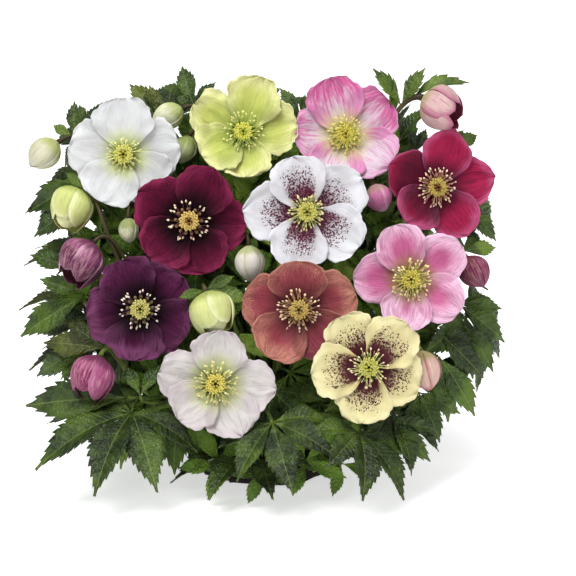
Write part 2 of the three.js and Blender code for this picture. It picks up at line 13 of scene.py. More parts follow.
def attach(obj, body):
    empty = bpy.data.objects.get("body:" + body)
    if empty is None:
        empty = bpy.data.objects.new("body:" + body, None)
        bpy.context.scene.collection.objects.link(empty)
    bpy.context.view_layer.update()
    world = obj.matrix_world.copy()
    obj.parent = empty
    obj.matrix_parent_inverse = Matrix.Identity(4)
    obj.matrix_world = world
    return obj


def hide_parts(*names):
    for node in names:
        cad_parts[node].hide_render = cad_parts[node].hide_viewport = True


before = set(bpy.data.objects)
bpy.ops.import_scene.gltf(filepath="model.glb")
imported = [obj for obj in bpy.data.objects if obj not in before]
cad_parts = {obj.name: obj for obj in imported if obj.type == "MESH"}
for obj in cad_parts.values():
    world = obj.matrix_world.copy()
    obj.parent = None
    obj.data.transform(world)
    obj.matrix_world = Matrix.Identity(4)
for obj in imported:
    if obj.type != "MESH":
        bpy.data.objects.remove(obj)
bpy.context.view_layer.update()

logging.basicConfig(level=logging.INFO, format="%(message)s")
LOG = logging.getLogger("hellebore")

MM = 0.001  # sizes are given in millimetres, and the scene is in metres
SEPALS = 5  # every bloom and bud has five
EVEN = (0.0,) * SEPALS  # no difference from one sepal of a flower to the next
STALK_FOOT = 28.0  # the height at which stalks leave the soil, just under its surface
CURVE_STEPS = 241  # how finely a curve is measured before its points are spaced
Triple = tuple[float, float, float]
Pair = tuple[float, float]
Value = np.ndarray | float | Triple  # a named value: one for each point, one for all, or a colour


# ---- Numbers and shapes --------------------------------------------------------------------------------


def draw(seed: float, index: float) -> float:
    """The same draw between 0 and 1 each time for one seed and one index."""
    wave = math.sin(seed * 127.1 + index * 311.7) * 43758.5453
    return wave - math.floor(wave)


def hue(code: str) -> Triple:
    """A colour written as six hexadecimal digits, as linear red, green and blue."""
    shares = [int(code[i:i + 2], 16) / 255 for i in (0, 2, 4)]
    return tuple(c / 12.92 if c <= 0.04045 else ((c + 0.055) / 1.055) ** 2.4 for c in shares)


def outward(around: float, slope: float) -> Vector:
    """The direction outwards at an angle round the clump, tipped up by slope, both in degrees."""
    a, s = math.radians(around), math.radians(slope)
    return Vector((math.cos(a) * math.cos(s), math.sin(a) * math.cos(s), math.sin(s)))


def ease(x: np.ndarray, low: float, high: float) -> np.ndarray:
    """Rises smoothly from 0 where x is low to 1 where it is high."""
    share = np.clip((x - low) / (high - low), 0, 1)
    return share * share * (3 - 2 * share)


def bezier(start: Vector, climb: Vector, hook: Vector, end: Vector, count: int) -> np.ndarray:
    """Points evenly spaced along a cubic curve.

    Args:
        start: Where the curve begins.
        climb: The handle of its beginning.
        hook: The handle of its end.
        end: Where it ends.
        count: How many points to return.

    Returns:
        An array of count points.
    """
    t = np.linspace(0, 1, CURVE_STEPS)[:, None]
    p0, p1, p2, p3 = (np.array(p) for p in (start, climb, hook, end))
    path = (1 - t) ** 3 * p0 + 3 * (1 - t) ** 2 * t * p1 + 3 * (1 - t) * t * t * p2 + t ** 3 * p3
    gone = np.concatenate([[0], np.cumsum(np.linalg.norm(np.diff(path, axis=0), axis=1))])
    where = np.linspace(0, gone[-1], count)
    return np.stack([np.interp(where, gone, path[:, k]) for k in range(3)], axis=1)


def place_for(at: Triple, yaw: float, pitch: float) -> np.ndarray:
    """The place of a bloom or bud: its own +Z is the way it looks, and its +Y runs up its face."""
    turn = Matrix.Rotation(math.radians(yaw), 4, "Z") @ Matrix.Rotation(math.radians(90 - pitch), 4, "X")
    return np.array(Matrix.Translation(Vector(at)) @ turn)


def moved(points: np.ndarray, place: np.ndarray) -> np.ndarray:
    """Points carried from a place's own axes into the clump's."""
    return points @ place[:3, :3].T + place[:3, 3]


class Body:
    """Gathers closed bodies into one mesh, with named values at each vertex."""

    def __init__(self) -> None:
        """Starts empty."""
        self.points: list[np.ndarray] = []
        self.faces: list[np.ndarray] = []
        self.values: list[dict[str, Value]] = []
        self.count = 0

    def add(self, points: np.ndarray, faces: list[np.ndarray], **values: Value) -> None:
        """Adds one closed body.

        Args:
            points: Its points, in millimetres.
            faces: Arrays of triangles and of quads, as rows of point numbers.
            values: A number, an array with one number a point, or a colour, for each named value.
        """
        self.points.append(points)
        self.faces.extend(f + self.count for f in faces)
        self.values.append(values)
        self.count += len(points)

    def shell(self, grid: np.ndarray, thickness: np.ndarray | float, **values: Value) -> None:
        """Adds a thin closed sheet: a grid of points given its thickness along its own normals.

        Args:
            grid: Rows of points; no row or column is shrunk to a point.
            thickness: The sheet's thickness, one number or one for each point of the grid.
            values: Numbers for the grid's points, which both faces share, or one colour as its tint.
        """
        rows, columns = grid.shape[:2]
        normal = np.cross(np.gradient(grid, axis=0), np.gradient(grid, axis=1))
        normal /= np.linalg.norm(normal, axis=2, keepdims=True) + 1e-9
        half = normal * (np.broadcast_to(thickness, (rows, columns))[..., None] / 2)
        both = np.concatenate([(grid + half).reshape(-1, 3), (grid - half).reshape(-1, 3)])
        index = np.arange(rows * columns).reshape(rows, columns)
        skin = np.stack([index[:-1, :-1], index[1:, :-1], index[1:, 1:], index[:-1, 1:]], axis=2).reshape(-1, 4)
        below = skin[:, ::-1] + rows * columns
        loop = np.concatenate([index[:-1, 0], index[-1, :-1], index[:0:-1, -1], index[0, :0:-1]])
        after = np.roll(loop, -1)
        rim = np.stack([loop, loop + rows * columns, after + rows * columns, after], axis=1)
        shared = {}
        for name, value in values.items():
            shared[name] = value if name == "tint" else np.tile(np.broadcast_to(value, (rows, columns)).ravel(), 2)
        behind = np.repeat([0.0, 1.0], rows * columns)
        self.add(both, [skin, below, rim], behind=behind, **shared)

    def tube(self, path: np.ndarray, radii: np.ndarray | float, sides: int, **values: Value) -> None:
        """Adds a closed round tube along a path, its ends drawn in to points.

        Args:
            path: The points of its middle line.
            radii: Its radius, one number or one for each point of the path.
            sides: How many sides it has.
            values: A number, a colour, or an array with one number for each point of the path.
        """
        count = len(path)
        radii = np.broadcast_to(radii, (count,))
        along = np.gradient(path, axis=0)
        along /= np.linalg.norm(along, axis=1, keepdims=True) + 1e-9
        first = np.cross(along[0], [0, 0, 1] if abs(along[0][2]) < 0.9 else [1, 0, 0])
        turn = np.linspace(0, 2 * np.pi, sides, endpoint=False)
        rings = []
        for here, way, radius in zip(path, along, radii):
            first = first - way * first.dot(way)
            first /= np.linalg.norm(first)
            second = np.cross(way, first)
            rings.append(here + radius * (np.outer(np.cos(turn), first) + np.outer(np.sin(turn), second)))
        points = np.concatenate([*rings, path[:1], path[-1:]])
        index = np.arange(count * sides).reshape(count, sides)
        beside = np.roll(index, -1, axis=1)
        skin = np.stack([index[:-1], beside[:-1], beside[1:], index[1:]], axis=2).reshape(-1, 4)
        foot, tip = count * sides, count * sides + 1
        low = np.stack([np.full(sides, foot), beside[0], index[0]], axis=1)
        high = np.stack([np.full(sides, tip), index[-1], beside[-1]], axis=1)
        spread = {}
        for name, value in values.items():
            value = np.asarray(value, dtype=float)
            if value.shape == (count,):
                value = np.concatenate([np.repeat(value, sides), value[:1], value[-1:]])
            spread[name] = value
        self.add(points, [skin, low, high], **spread)

    def build(self, name: str, material: bpy.types.Material, slot: str, replaced: list[str]) -> None:
        """Makes the piece, smooth, dressed and riding on the clump.

        Args:
            name: The piece's name.
            material: What it is dressed in.
            slot: The record's material slot; not used.
            replaced: The CAD nodes that it stands for.
        """
        mesh = bpy.data.meshes.new(name)
        points = np.concatenate(self.points) * MM
        corners = np.concatenate([f.ravel() for f in self.faces])
        sizes = np.concatenate([np.full(len(f), f.shape[1]) for f in self.faces])
        mesh.vertices.add(len(points))
        mesh.vertices.foreach_set("co", points.ravel())
        mesh.loops.add(len(corners))
        mesh.loops.foreach_set("vertex_index", corners.astype(np.int32))
        mesh.polygons.add(len(sizes))
        mesh.polygons.foreach_set("loop_start", np.concatenate([[0], np.cumsum(sizes)[:-1]]).astype(np.int32))
        mesh.update(calc_edges=True)
        mesh.polygons.foreach_set("use_smooth", np.ones(len(sizes), dtype=bool))
        for key in sorted({key for values in self.values for key in values}):
            colour = key == "tint"
            layer = mesh.attributes.new(key, "FLOAT_COLOR" if colour else "FLOAT", "POINT")
            layer.data.foreach_set("color" if colour else "value", self._column(key, colour))
        mesh.validate()
        piece = bpy.data.objects.new(name, mesh)
        bpy.context.collection.objects.link(piece)
        mesh.materials.append(material)
        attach(piece, "root")
        if replaced:
            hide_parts(*replaced)
        LOG.info("%s: %d triangles", name, int((sizes - 2).sum()))

    def _column(self, key: str, colour: bool) -> np.ndarray:
        """One named value at every vertex.

        Args:
            key: Its name.
            colour: Whether it is a colour.

        Returns:
            The values one after another; a body without it has 0, or black.
        """
        parts = []
        for points, values in zip(self.points, self.values):
            if colour:
                parts.append(np.broadcast_to([*values.get(key, (0.0, 0.0, 0.0)), 1.0], (len(points), 4)))
            else:
                parts.append(np.broadcast_to(np.asarray(values.get(key, 0.0), dtype=float), (len(points),)))
        return np.concatenate(parts).ravel()


# ---- Shader nodes ----------------------------------------------------------------------------------------


class Blend(Enum):
    """The ways in which two colours blend."""

    MIX = "MIX"
    MULTIPLY = "MULTIPLY"


class Wire:
    """A number or colour coming out of a node; arithmetic on it adds Math nodes."""

    def __init__(self, graph: "Graph", socket: bpy.types.NodeSocket) -> None:
        """Holds one socket of one graph."""
        self.graph = graph
        self.socket = socket

    def _math(self, operation: str, *values: "Wire | float") -> "Wire":
        """One Math node on these values."""
        node = self.graph.node("ShaderNodeMath", {"operation": operation}, dict(enumerate(values)))
        return Wire(self.graph, node.outputs[0])

    def __add__(self, other: "Wire | float") -> "Wire":
        """Sum."""
        return self._math("ADD", self, other)

    __radd__ = __add__

    def __sub__(self, other: "Wire | float") -> "Wire":
        """Difference."""
        return self._math("SUBTRACT", self, other)

    def __rsub__(self, other: float) -> "Wire":
        """Difference from a number."""
        return self._math("SUBTRACT", other, self)

    def __mul__(self, other: "Wire | float") -> "Wire":
        """Product."""
        return self._math("MULTIPLY", self, other)

    __rmul__ = __mul__

    def __pow__(self, other: float) -> "Wire":
        """Power."""
        return self._math("POWER", self, other)

    def __abs__(self) -> "Wire":
        """Size without sign."""
        return self._math("ABSOLUTE", self)

    def most(self, other: "Wire | float") -> "Wire":
        """The greater of the two."""
        return self._math("MAXIMUM", self, other)

    def ease(self, low: float, high: float) -> "Wire":
        """Rises smoothly from 0 at low to 1 at high."""
        values = {"Value": self, "From Min": low, "From Max": high}
        node = self.graph.node("ShaderNodeMapRange", {"interpolation_type": "SMOOTHSTEP"}, values)
        return Wire(self.graph, node.outputs[0])


class Graph:
    """The nodes of one material, ending in one Principled shader."""

    def __init__(self, name: str) -> None:
        """Starts a material of this name."""
        self.material = bpy.data.materials.new(name)
        self.material.use_nodes = True
        self.tree = self.material.node_tree
        self.shader = self.tree.nodes["Principled BSDF"]

    def node(self, kind: str, settings: dict, values: dict) -> bpy.types.Node:
        """Adds a node.

        Args:
            kind: The node's type.
            settings: Its settings, set first.
            values: Values or links of its sockets, by name or number.

        Returns:
            The new node.
        """
        made = self.tree.nodes.new(kind)
        for key, value in settings.items():
            setattr(made, key, value)
        for key, value in values.items():
            self.feed(made.inputs[key], value)
        return made

    def feed(self, socket: bpy.types.NodeSocket, value: "Wire | float | tuple") -> None:
        """Links or sets one socket.

        Args:
            socket: The socket.
            value: The wire to link to it, or the number or colour to set.
        """
        if isinstance(value, Wire):
            self.tree.links.new(value.socket, socket)
        elif isinstance(value, tuple) and socket.type == "RGBA":
            socket.default_value = (*value, 1.0)
        else:
            socket.default_value = value

    def value(self, name: str) -> Wire:
        """A named number of the mesh."""
        made = self.node("ShaderNodeAttribute", {"attribute_name": name}, {})
        return Wire(self, made.outputs["Fac"])

    def tint(self) -> Wire:
        """The mesh's own colour."""
        made = self.node("ShaderNodeAttribute", {"attribute_name": "tint"}, {})
        return Wire(self, made.outputs["Color"])

    def here(self) -> Wire:
        """The place on the piece, in metres."""
        return Wire(self, self.node("ShaderNodeTexCoord", {}, {}).outputs["Object"])

    def point(self, x: "Wire | float", y: "Wire | float", z: "Wire | float") -> Wire:
        """Three numbers as one vector."""
        made = self.node("ShaderNodeCombineXYZ", {}, {0: x, 1: y, 2: z})
        return Wire(self, made.outputs[0])

    def noise(self, at: Wire, scale: float, detail: float = 2.0, rough: float = 0.5) -> Wire:
        """Cloudy noise round a half."""
        values = {"Vector": at, "Scale": scale, "Detail": detail, "Roughness": rough}
        return Wire(self, self.node("ShaderNodeTexNoise", {}, values).outputs[0])

    def cells(self, at: Wire, scale: float) -> Wire:
        """The distance to the nearest of many scattered points."""
        values = {"Vector": at, "Scale": scale}
        return Wire(self, self.node("ShaderNodeTexVoronoi", {}, values).outputs["Distance"])

    def dots(self, at: Wire, density: Wire) -> Wire:
        """Small round dots, scattered one to a unit and kept where a draw falls under the density.

        Args:
            at: The place, in units of the dots' spacing.
            density: The share of the dots that are kept, which also makes them a little larger.

        Returns:
            1 on a dot and 0 between them.
        """
        made = self.node("ShaderNodeTexVoronoi", {}, {"Vector": at, "Scale": 1.0})
        parts = self.node("ShaderNodeSeparateColor", {}, {0: Wire(self, made.outputs["Color"])})
        kept = ((density - Wire(self, parts.outputs[0])) * 6.0).ease(0.0, 1.0)
        return kept * ((0.36 + density * 0.28 - Wire(self, made.outputs["Distance"])) * 9.0).ease(0.0, 1.0)

    def mix(self, share: "Wire | float", first: "Wire | Triple", second: "Wire | Triple",
            way: Blend = Blend.MIX) -> Wire:
        """Blends two colours.

        Args:
            share: How much of the second there is.
            first: The colour below.
            second: The colour over it.
            way: How they blend.

        Returns:
            The blended colour.
        """
        settings = {"data_type": "RGBA", "blend_type": way.value, "clamp_factor": True}
        made = self.node("ShaderNodeMix", settings, {0: share, 6: first, 7: second})
        return Wire(self, made.outputs[2])

    def bump(self, height: Wire, depth: float, strength: float = 1.0) -> None:
        """Raises the surface.

        Args:
            height: How high each place stands.
            depth: What a height of 1 comes to, in millimetres.
            strength: How much of the relief shows.
        """
        values = {"Height": height, "Distance": depth * MM, "Strength": strength}
        made = self.node("ShaderNodeBump", {}, values)
        self.feed(self.shader.inputs["Normal"], Wire(self, made.outputs[0]))

    def finish(self, colour: "Wire | Triple", rough: "Wire | float",
               **constants: "float | tuple") -> bpy.types.Material:
        """Feeds the shader and returns the material.

        Args:
            colour: The base colour.
            rough: The roughness.
            constants: Other sockets of the shader, with spaces as underscores.

        Returns:
            The finished material.
        """
        self.feed(self.shader.inputs["Base Color"], colour)
        self.feed(self.shader.inputs["Roughness"], rough)
        for key, value in constants.items():
            self.shader.inputs[key.replace("_", " ")].default_value = value
        return self.material


# ---- Finishes --------------------------------------------------------------------------------------------


@dataclass(frozen=True)
class SepalFinish:
    """How a flower's sepals are coloured: their ground, edge, veins, base and speckles."""

    ground: str
    edge: str
    vein: str
    base: str
    base_full: float = 6.0  # millimetres from the middle where the base colour starts to fade
    base_to: float = 20.0  # millimetres from the middle that the base colour reaches
    base_share: float = 0.8  # how strong the base colour is
    edge_from: float = 0.55  # share of the way to the rim where the edge colour begins
    edge_share: float = 0.8  # how strong the edge colour is
    veins: float = 0.4  # how strong the broad veins are
    fine: float = 0.3  # how strong the thin veins are
    mottle: float = 0.0  # how much of the edge colour shows as flecks in the ground
    lapped: float = 0.35  # how much darker a sepal is painted where it lies over another: painted shade of the overlap
    rim_line: float = 0.3  # how plainly the very edge shows in the edge colour: a pale rim that is partly the sepal's own and partly a painted highlight
    flush: str = ""  # a deeper colour that some sepals carry towards their tips: a flush of their own on the blooms, and on the bells partly painted shade on the sepals that face away from the light
    gloss: float = 0.2
    speckle: str = ""  # the colour of the speckles, or none
    speckle_from: float = 9.0  # millimetres from the middle where the patch of speckles begins
    speckle_to: float = 33.0  # millimetres from the middle where it ends
    speckle_core: float = 0.5  # how solid the patch is at its base
    speckle_half: float = 11.0  # millimetres from a sepal's middle line that its patch of speckles reaches
    back: str = "c9cf9a"  # the colour of the sepals' backs
    back_share: float = 0.2

    def material(self, name: str) -> bpy.types.Material:
        """Makes the material of this finish.

        Args:
            name: The material's name.

        Returns:
            The finished material.
        """
        g = Graph(name)
        along, aside, rim = g.value("along"), g.value("aside"), g.value("rim")
        reach, seed = g.value("reach"), g.value("seed")
        cloud = g.noise(g.here(), 60.0, 3.0)
        fan = g.noise(g.point(aside * 5.0 + seed, along * 1.3, seed), 1.6, 3.0, 0.6)
        threads = g.noise(g.point(aside * 16.0 + seed, along * 2.6, seed), 1.5, 3.0, 0.65)
        wide_vein = fan.ease(0.5, 0.66)
        thin_vein = threads.ease(0.5, 0.64)
        uneven = rim - g.value("deeper") * 0.4 + (fan - 0.5) * 0.5 + (cloud - 0.5) * 0.4
        margin = uneven.ease(self.edge_from, 1.02)
        colour = g.mix(margin * self.edge_share, hue(self.ground), hue(self.edge))
        if self.mottle:
            flecks = g.noise(g.point(aside * 28.0 + seed, along * 15.0, seed), 1.6, 3.0, 0.75).ease(0.51, 0.6)
            patch = (rim + (cloud - 0.5) * 0.9).ease(0.25, 0.8)
            colour = g.mix(flecks * patch * self.mottle, colour, hue(self.edge))
        # A deeper colour streaked towards the tips: the blooms' own flush, and on the bells partly painted shade.
        if self.flush:
            streaks = g.noise(g.point(aside * 9.0 + seed, along * 2.2, seed), 1.6, 4.0, 0.75)
            deep = g.value("flush") * (along + (fan - 0.5) * 0.6).ease(0.2, 0.9)
            colour = g.mix((deep * 0.7 + (streaks - 0.5) * 1.5).ease(0.12, 0.66) * 0.9, colour, hue(self.flush))
        lively = 1 - rim * rim * 0.5
        colour = g.mix(wide_vein * lively * self.veins, colour, hue(self.vein))
        colour = g.mix(thin_vein * self.fine, colour, hue(self.vein))
        # Painted shade: darker, towards the vein colour, where one sepal lies over another.
        colour = g.mix(g.value("lapped") * self.lapped, colour, hue(self.vein))
        # A thin pale line at the very edge, partly the sepal's own colour and partly painted highlight.
        colour = g.mix(rim.ease(0.93, 1.0) * self.rim_line, colour, hue(self.edge))
        near = 1 - (reach - g.value("dusk") * 12.0 + (fan - 0.5) * 14.0).ease(self.base_full, self.base_to)
        colour = g.mix(near * self.base_share, colour, hue(self.base))
        if self.speckle:
            colour = self._speckled(g, colour)
        behind = g.value("behind")
        colour = g.mix(behind * self.back_share, colour, hue(self.back))
        colour = g.mix((0.62 - cloud).ease(0.0, 0.3) * 0.22, colour, (0.35, 0.33, 0.33), Blend.MULTIPLY)
        g.bump(threads * 0.7 + fan * 1.0 + cloud * 0.4, 0.6, 0.9)
        rough = 0.5 + cloud * 0.2
        return g.finish(colour, rough, Specular_IOR_Level=self.gloss, Subsurface_Weight=0.08,
                        Subsurface_Scale=0.002)

    def _speckled(self, g: Graph, colour: Wire) -> Wire:
        """Adds dark speckles that fan out from each sepal's base, thickest there.

        Args:
            g: The material's nodes.
            colour: The colour under the speckles.

        Returns:
            The colour with its speckles.
        """
        seed, reach, across = g.value("seed"), g.value("reach"), g.value("across")
        half = (reach.ease(4.0, self.speckle_to * 0.75) * 0.5 + 0.5) * self.speckle_half
        wide = across * half ** -1.0
        fade = 1 - reach.ease(self.speckle_from + 5.0, self.speckle_to + 2.0)
        ends = (1 - reach.ease(self.speckle_to - 4.0, self.speckle_to + 2.0)) * reach.ease(
            self.speckle_from - 5.0, self.speckle_from)
        density = (1.25 - wide * wide).ease(0.0, 0.7) * (fade * 0.8 + 0.42) * ends
        large = g.dots(g.point(across * 0.85, reach * 0.66, seed), density)
        small = g.dots(g.point(across * 1.5, reach * 1.15, seed + 3.0), density * 0.75)
        core = 1 - reach.ease(self.speckle_from + 7.0, self.speckle_from + 25.0)
        haze = g.mix(density * (core * self.speckle_core + 0.16), colour, hue(self.speckle))
        return g.mix(large.most(small), haze, hue(self.speckle))


@dataclass(frozen=True)
class HeartFinish:
    """What stands in the middle of a bloom: how many stamens, how far they spread, and every colour."""

    carpel: str = "8a9a3a"
    crown: str = "e2cf45"
    nectary: str = "8fa838"
    filament: str = "dfe0a4"
    anther: str = "f3ebc4"
    anther_size: float = 1.15
    stamens: int = 46
    reach: Pair = (9.0, 15.5)  # how far from the middle the shortest and the longest stamens end


class LeafTone(Enum):
    """The greens of the leaves."""

    DARK = "223309"
    MID = "2f450b"
    OLIVE = "474b15"
    # A lighter green, painted light for the leaves in the shaded gaps of the clump.
    GAP_LIT = "5a7828"
    YOUNG = "566a26"


@dataclass(frozen=True)
class LeafFinish:
    """Leaves in mottled greens, some lighter blotches being painted highlights, with paler ribs and veins and a paler
    underside.
    """

    name: str = "leaf_green"
    gloss: float = 0.29

    def material(self) -> bpy.types.Material:
        """Makes the material of the leaves.

        Returns:
            The finished material.
        """
        g = Graph(self.name)
        aside, phase, seed = g.value("aside"), g.value("phase"), g.value("seed")
        cloud = g.noise(g.here(), 38.0, 4.0)
        grain = g.noise(g.here(), 420.0, 3.0, 0.6)
        midrib = 1 - abs(aside).ease(0.012, 0.05)
        vein = (1 - phase.ease(0.0, 0.35)) * (1 - abs(aside).ease(0.5, 0.95)) * (cloud.ease(0.35, 0.6))
        own = g.tint()
        colour = g.mix((cloud - 0.4).ease(0.0, 0.22) * 0.95, own, (0.24, 0.3, 0.18), Blend.MULTIPLY)
        colour = g.mix((0.52 - cloud).ease(0.0, 0.2) * 0.45, colour, hue("566c20"))
        colour = g.mix((grain - 0.45).ease(0.0, 0.3) * 0.2, colour, hue("4d5c22"))
        # Lighter green blotches, partly the leaf's own mottling and partly painted highlight.
        blotch_and_sheen = g.noise(g.here(), 120.0, 3.0)
        colour = g.mix((blotch_and_sheen - 0.5).ease(0.0, 0.2) * 0.22, colour, hue("5c7430"))
        colour = g.mix(vein * 0.16, colour, hue("6b7c38"))
        colour = g.mix(midrib * 0.3, colour, hue("84924a"))
        colour = g.mix(g.value("behind") * 0.4, colour, hue("66794a"))
        net = g.cells(g.here(), 620.0)
        g.bump(phase * 0.4 + net * 0.6 + cloud * 2.2 + blotch_and_sheen * 2.0 + grain * 0.4, 1.0, 1.0)
        rough = 0.22 + cloud * 0.3 + seed * 0.0008
        return g.finish(colour, rough, Specular_IOR_Level=self.gloss)


class StemFinish:
    """Stems: green below, reddish brown above, streaked lengthwise."""

    def material(self) -> bpy.types.Material:
        """Makes the material of stems and stalks.

        Returns:
            The finished material.
        """
        g = Graph("stem_skin")
        along, seed = g.value("along"), g.value("seed")
        here = g.here()
        cloud = g.noise(here, 45.0, 3.0)
        streak = g.noise(g.point(g.value("turn") * 3.0, along * 6.0, seed), 2.0, 3.0)
        red = (g.value("blush") + (cloud - 0.5) * 0.6 + (streak - 0.5) * 0.5).ease(0.35, 0.75)
        colour = g.mix(streak.ease(0.4, 0.65) * 0.5, hue("6a7a34"), hue("808e46"))
        colour = g.mix(red * 0.92, colour, hue("2e1a13"))
        colour = g.mix((cloud - 0.4).ease(0.0, 0.3) * 0.4, colour, hue("5b5a2c"))
        g.bump(streak + cloud * 0.5, 0.3, 0.7)
        return g.finish(colour, 0.42 + streak * 0.2, Specular_IOR_Level=0.25)


class HeartSkin:
    """Stamens, nectaries and carpels, each in its own tint."""

    def material(self) -> bpy.types.Material:
        """Makes the material of the hearts of the blooms.

        Returns:
            The finished material.
        """
        g = Graph("heart_skin")
        cloud = g.noise(g.here(), 700.0, 3.0, 0.6)
        colour = g.mix((cloud - 0.42).ease(0.0, 0.3) * 0.35, g.tint(), (0.72, 0.66, 0.42), Blend.MULTIPLY)
        g.bump(cloud, 0.25, 0.7)
        return g.finish(colour, 0.5 + cloud * 0.15, Specular_IOR_Level=0.4, Subsurface_Weight=0.08,
                        Subsurface_Scale=0.001)


class SoilFinish:
    """Dark crumbling peat."""

    def material(self) -> bpy.types.Material:
        """Makes the material of the soil.

        Returns:
            The finished material.
        """
        g = Graph("peat")
        here = g.here()
        coarse = g.noise(here, 160.0, 5.0, 0.7)
        fibre = g.noise(here, 900.0, 4.0, 0.7)
        colour = g.mix((coarse - 0.35).ease(0.0, 0.35), hue("120c09"), hue("2b1f17"))
        colour = g.mix((fibre - 0.55).ease(0.0, 0.2) * 0.5, colour, hue("483524"))
        g.bump(coarse + fibre * 0.6, 1.6, 1.0)
        return g.finish(colour, 0.85 + fibre * 0.1, Specular_IOR_Level=0.2)


class PerliteFinish:
    """White crumbs of perlite."""

    def material(self) -> bpy.types.Material:
        """Makes the material of the perlite.

        Returns:
            The finished material.
        """
        g = Graph("perlite")
        grain = g.noise(g.here(), 1400.0, 3.0, 0.6)
        colour = g.mix((grain - 0.4).ease(0.0, 0.3), hue("e9e6de"), hue("b9b3a6"))
        g.bump(grain, 0.4, 0.8)
        return g.finish(colour, 0.8 + grain * 0.1)


# ---- Blooms ----------------------------------------------------------------------------------------------


@dataclass(frozen=True)
class Bloom:
    """One open flower: its place, its shape and its colours."""

    name: str
    at: Triple  # the middle of its sepals' base
    yaw: float  # degrees that it looks to the right
    pitch: float  # degrees that it looks up
    width: float  # from a sepal's middle line to its side
    cup: float  # how far the sepals' tips stand forward
    point: float  # how pointed the sepals are
    sepals: tuple[Pair, ...]  # each sepal's direction in degrees, and its length
    finish: SepalFinish
    heart: HeartFinish
    ruffle: float = 0.7  # how wavy the rims are
    flush: tuple[float, ...] = EVEN  # how much of the flush colour each sepal carries
    deeper: tuple[float, ...] = EVEN  # how far each sepal's ground colour runs out, or its edge colour in
    tips: tuple[float, ...] = EVEN  # how pointed each sepal is, over the others
    dusk: tuple[float, ...] = EVEN  # how far each sepal's base colour runs out, over the others


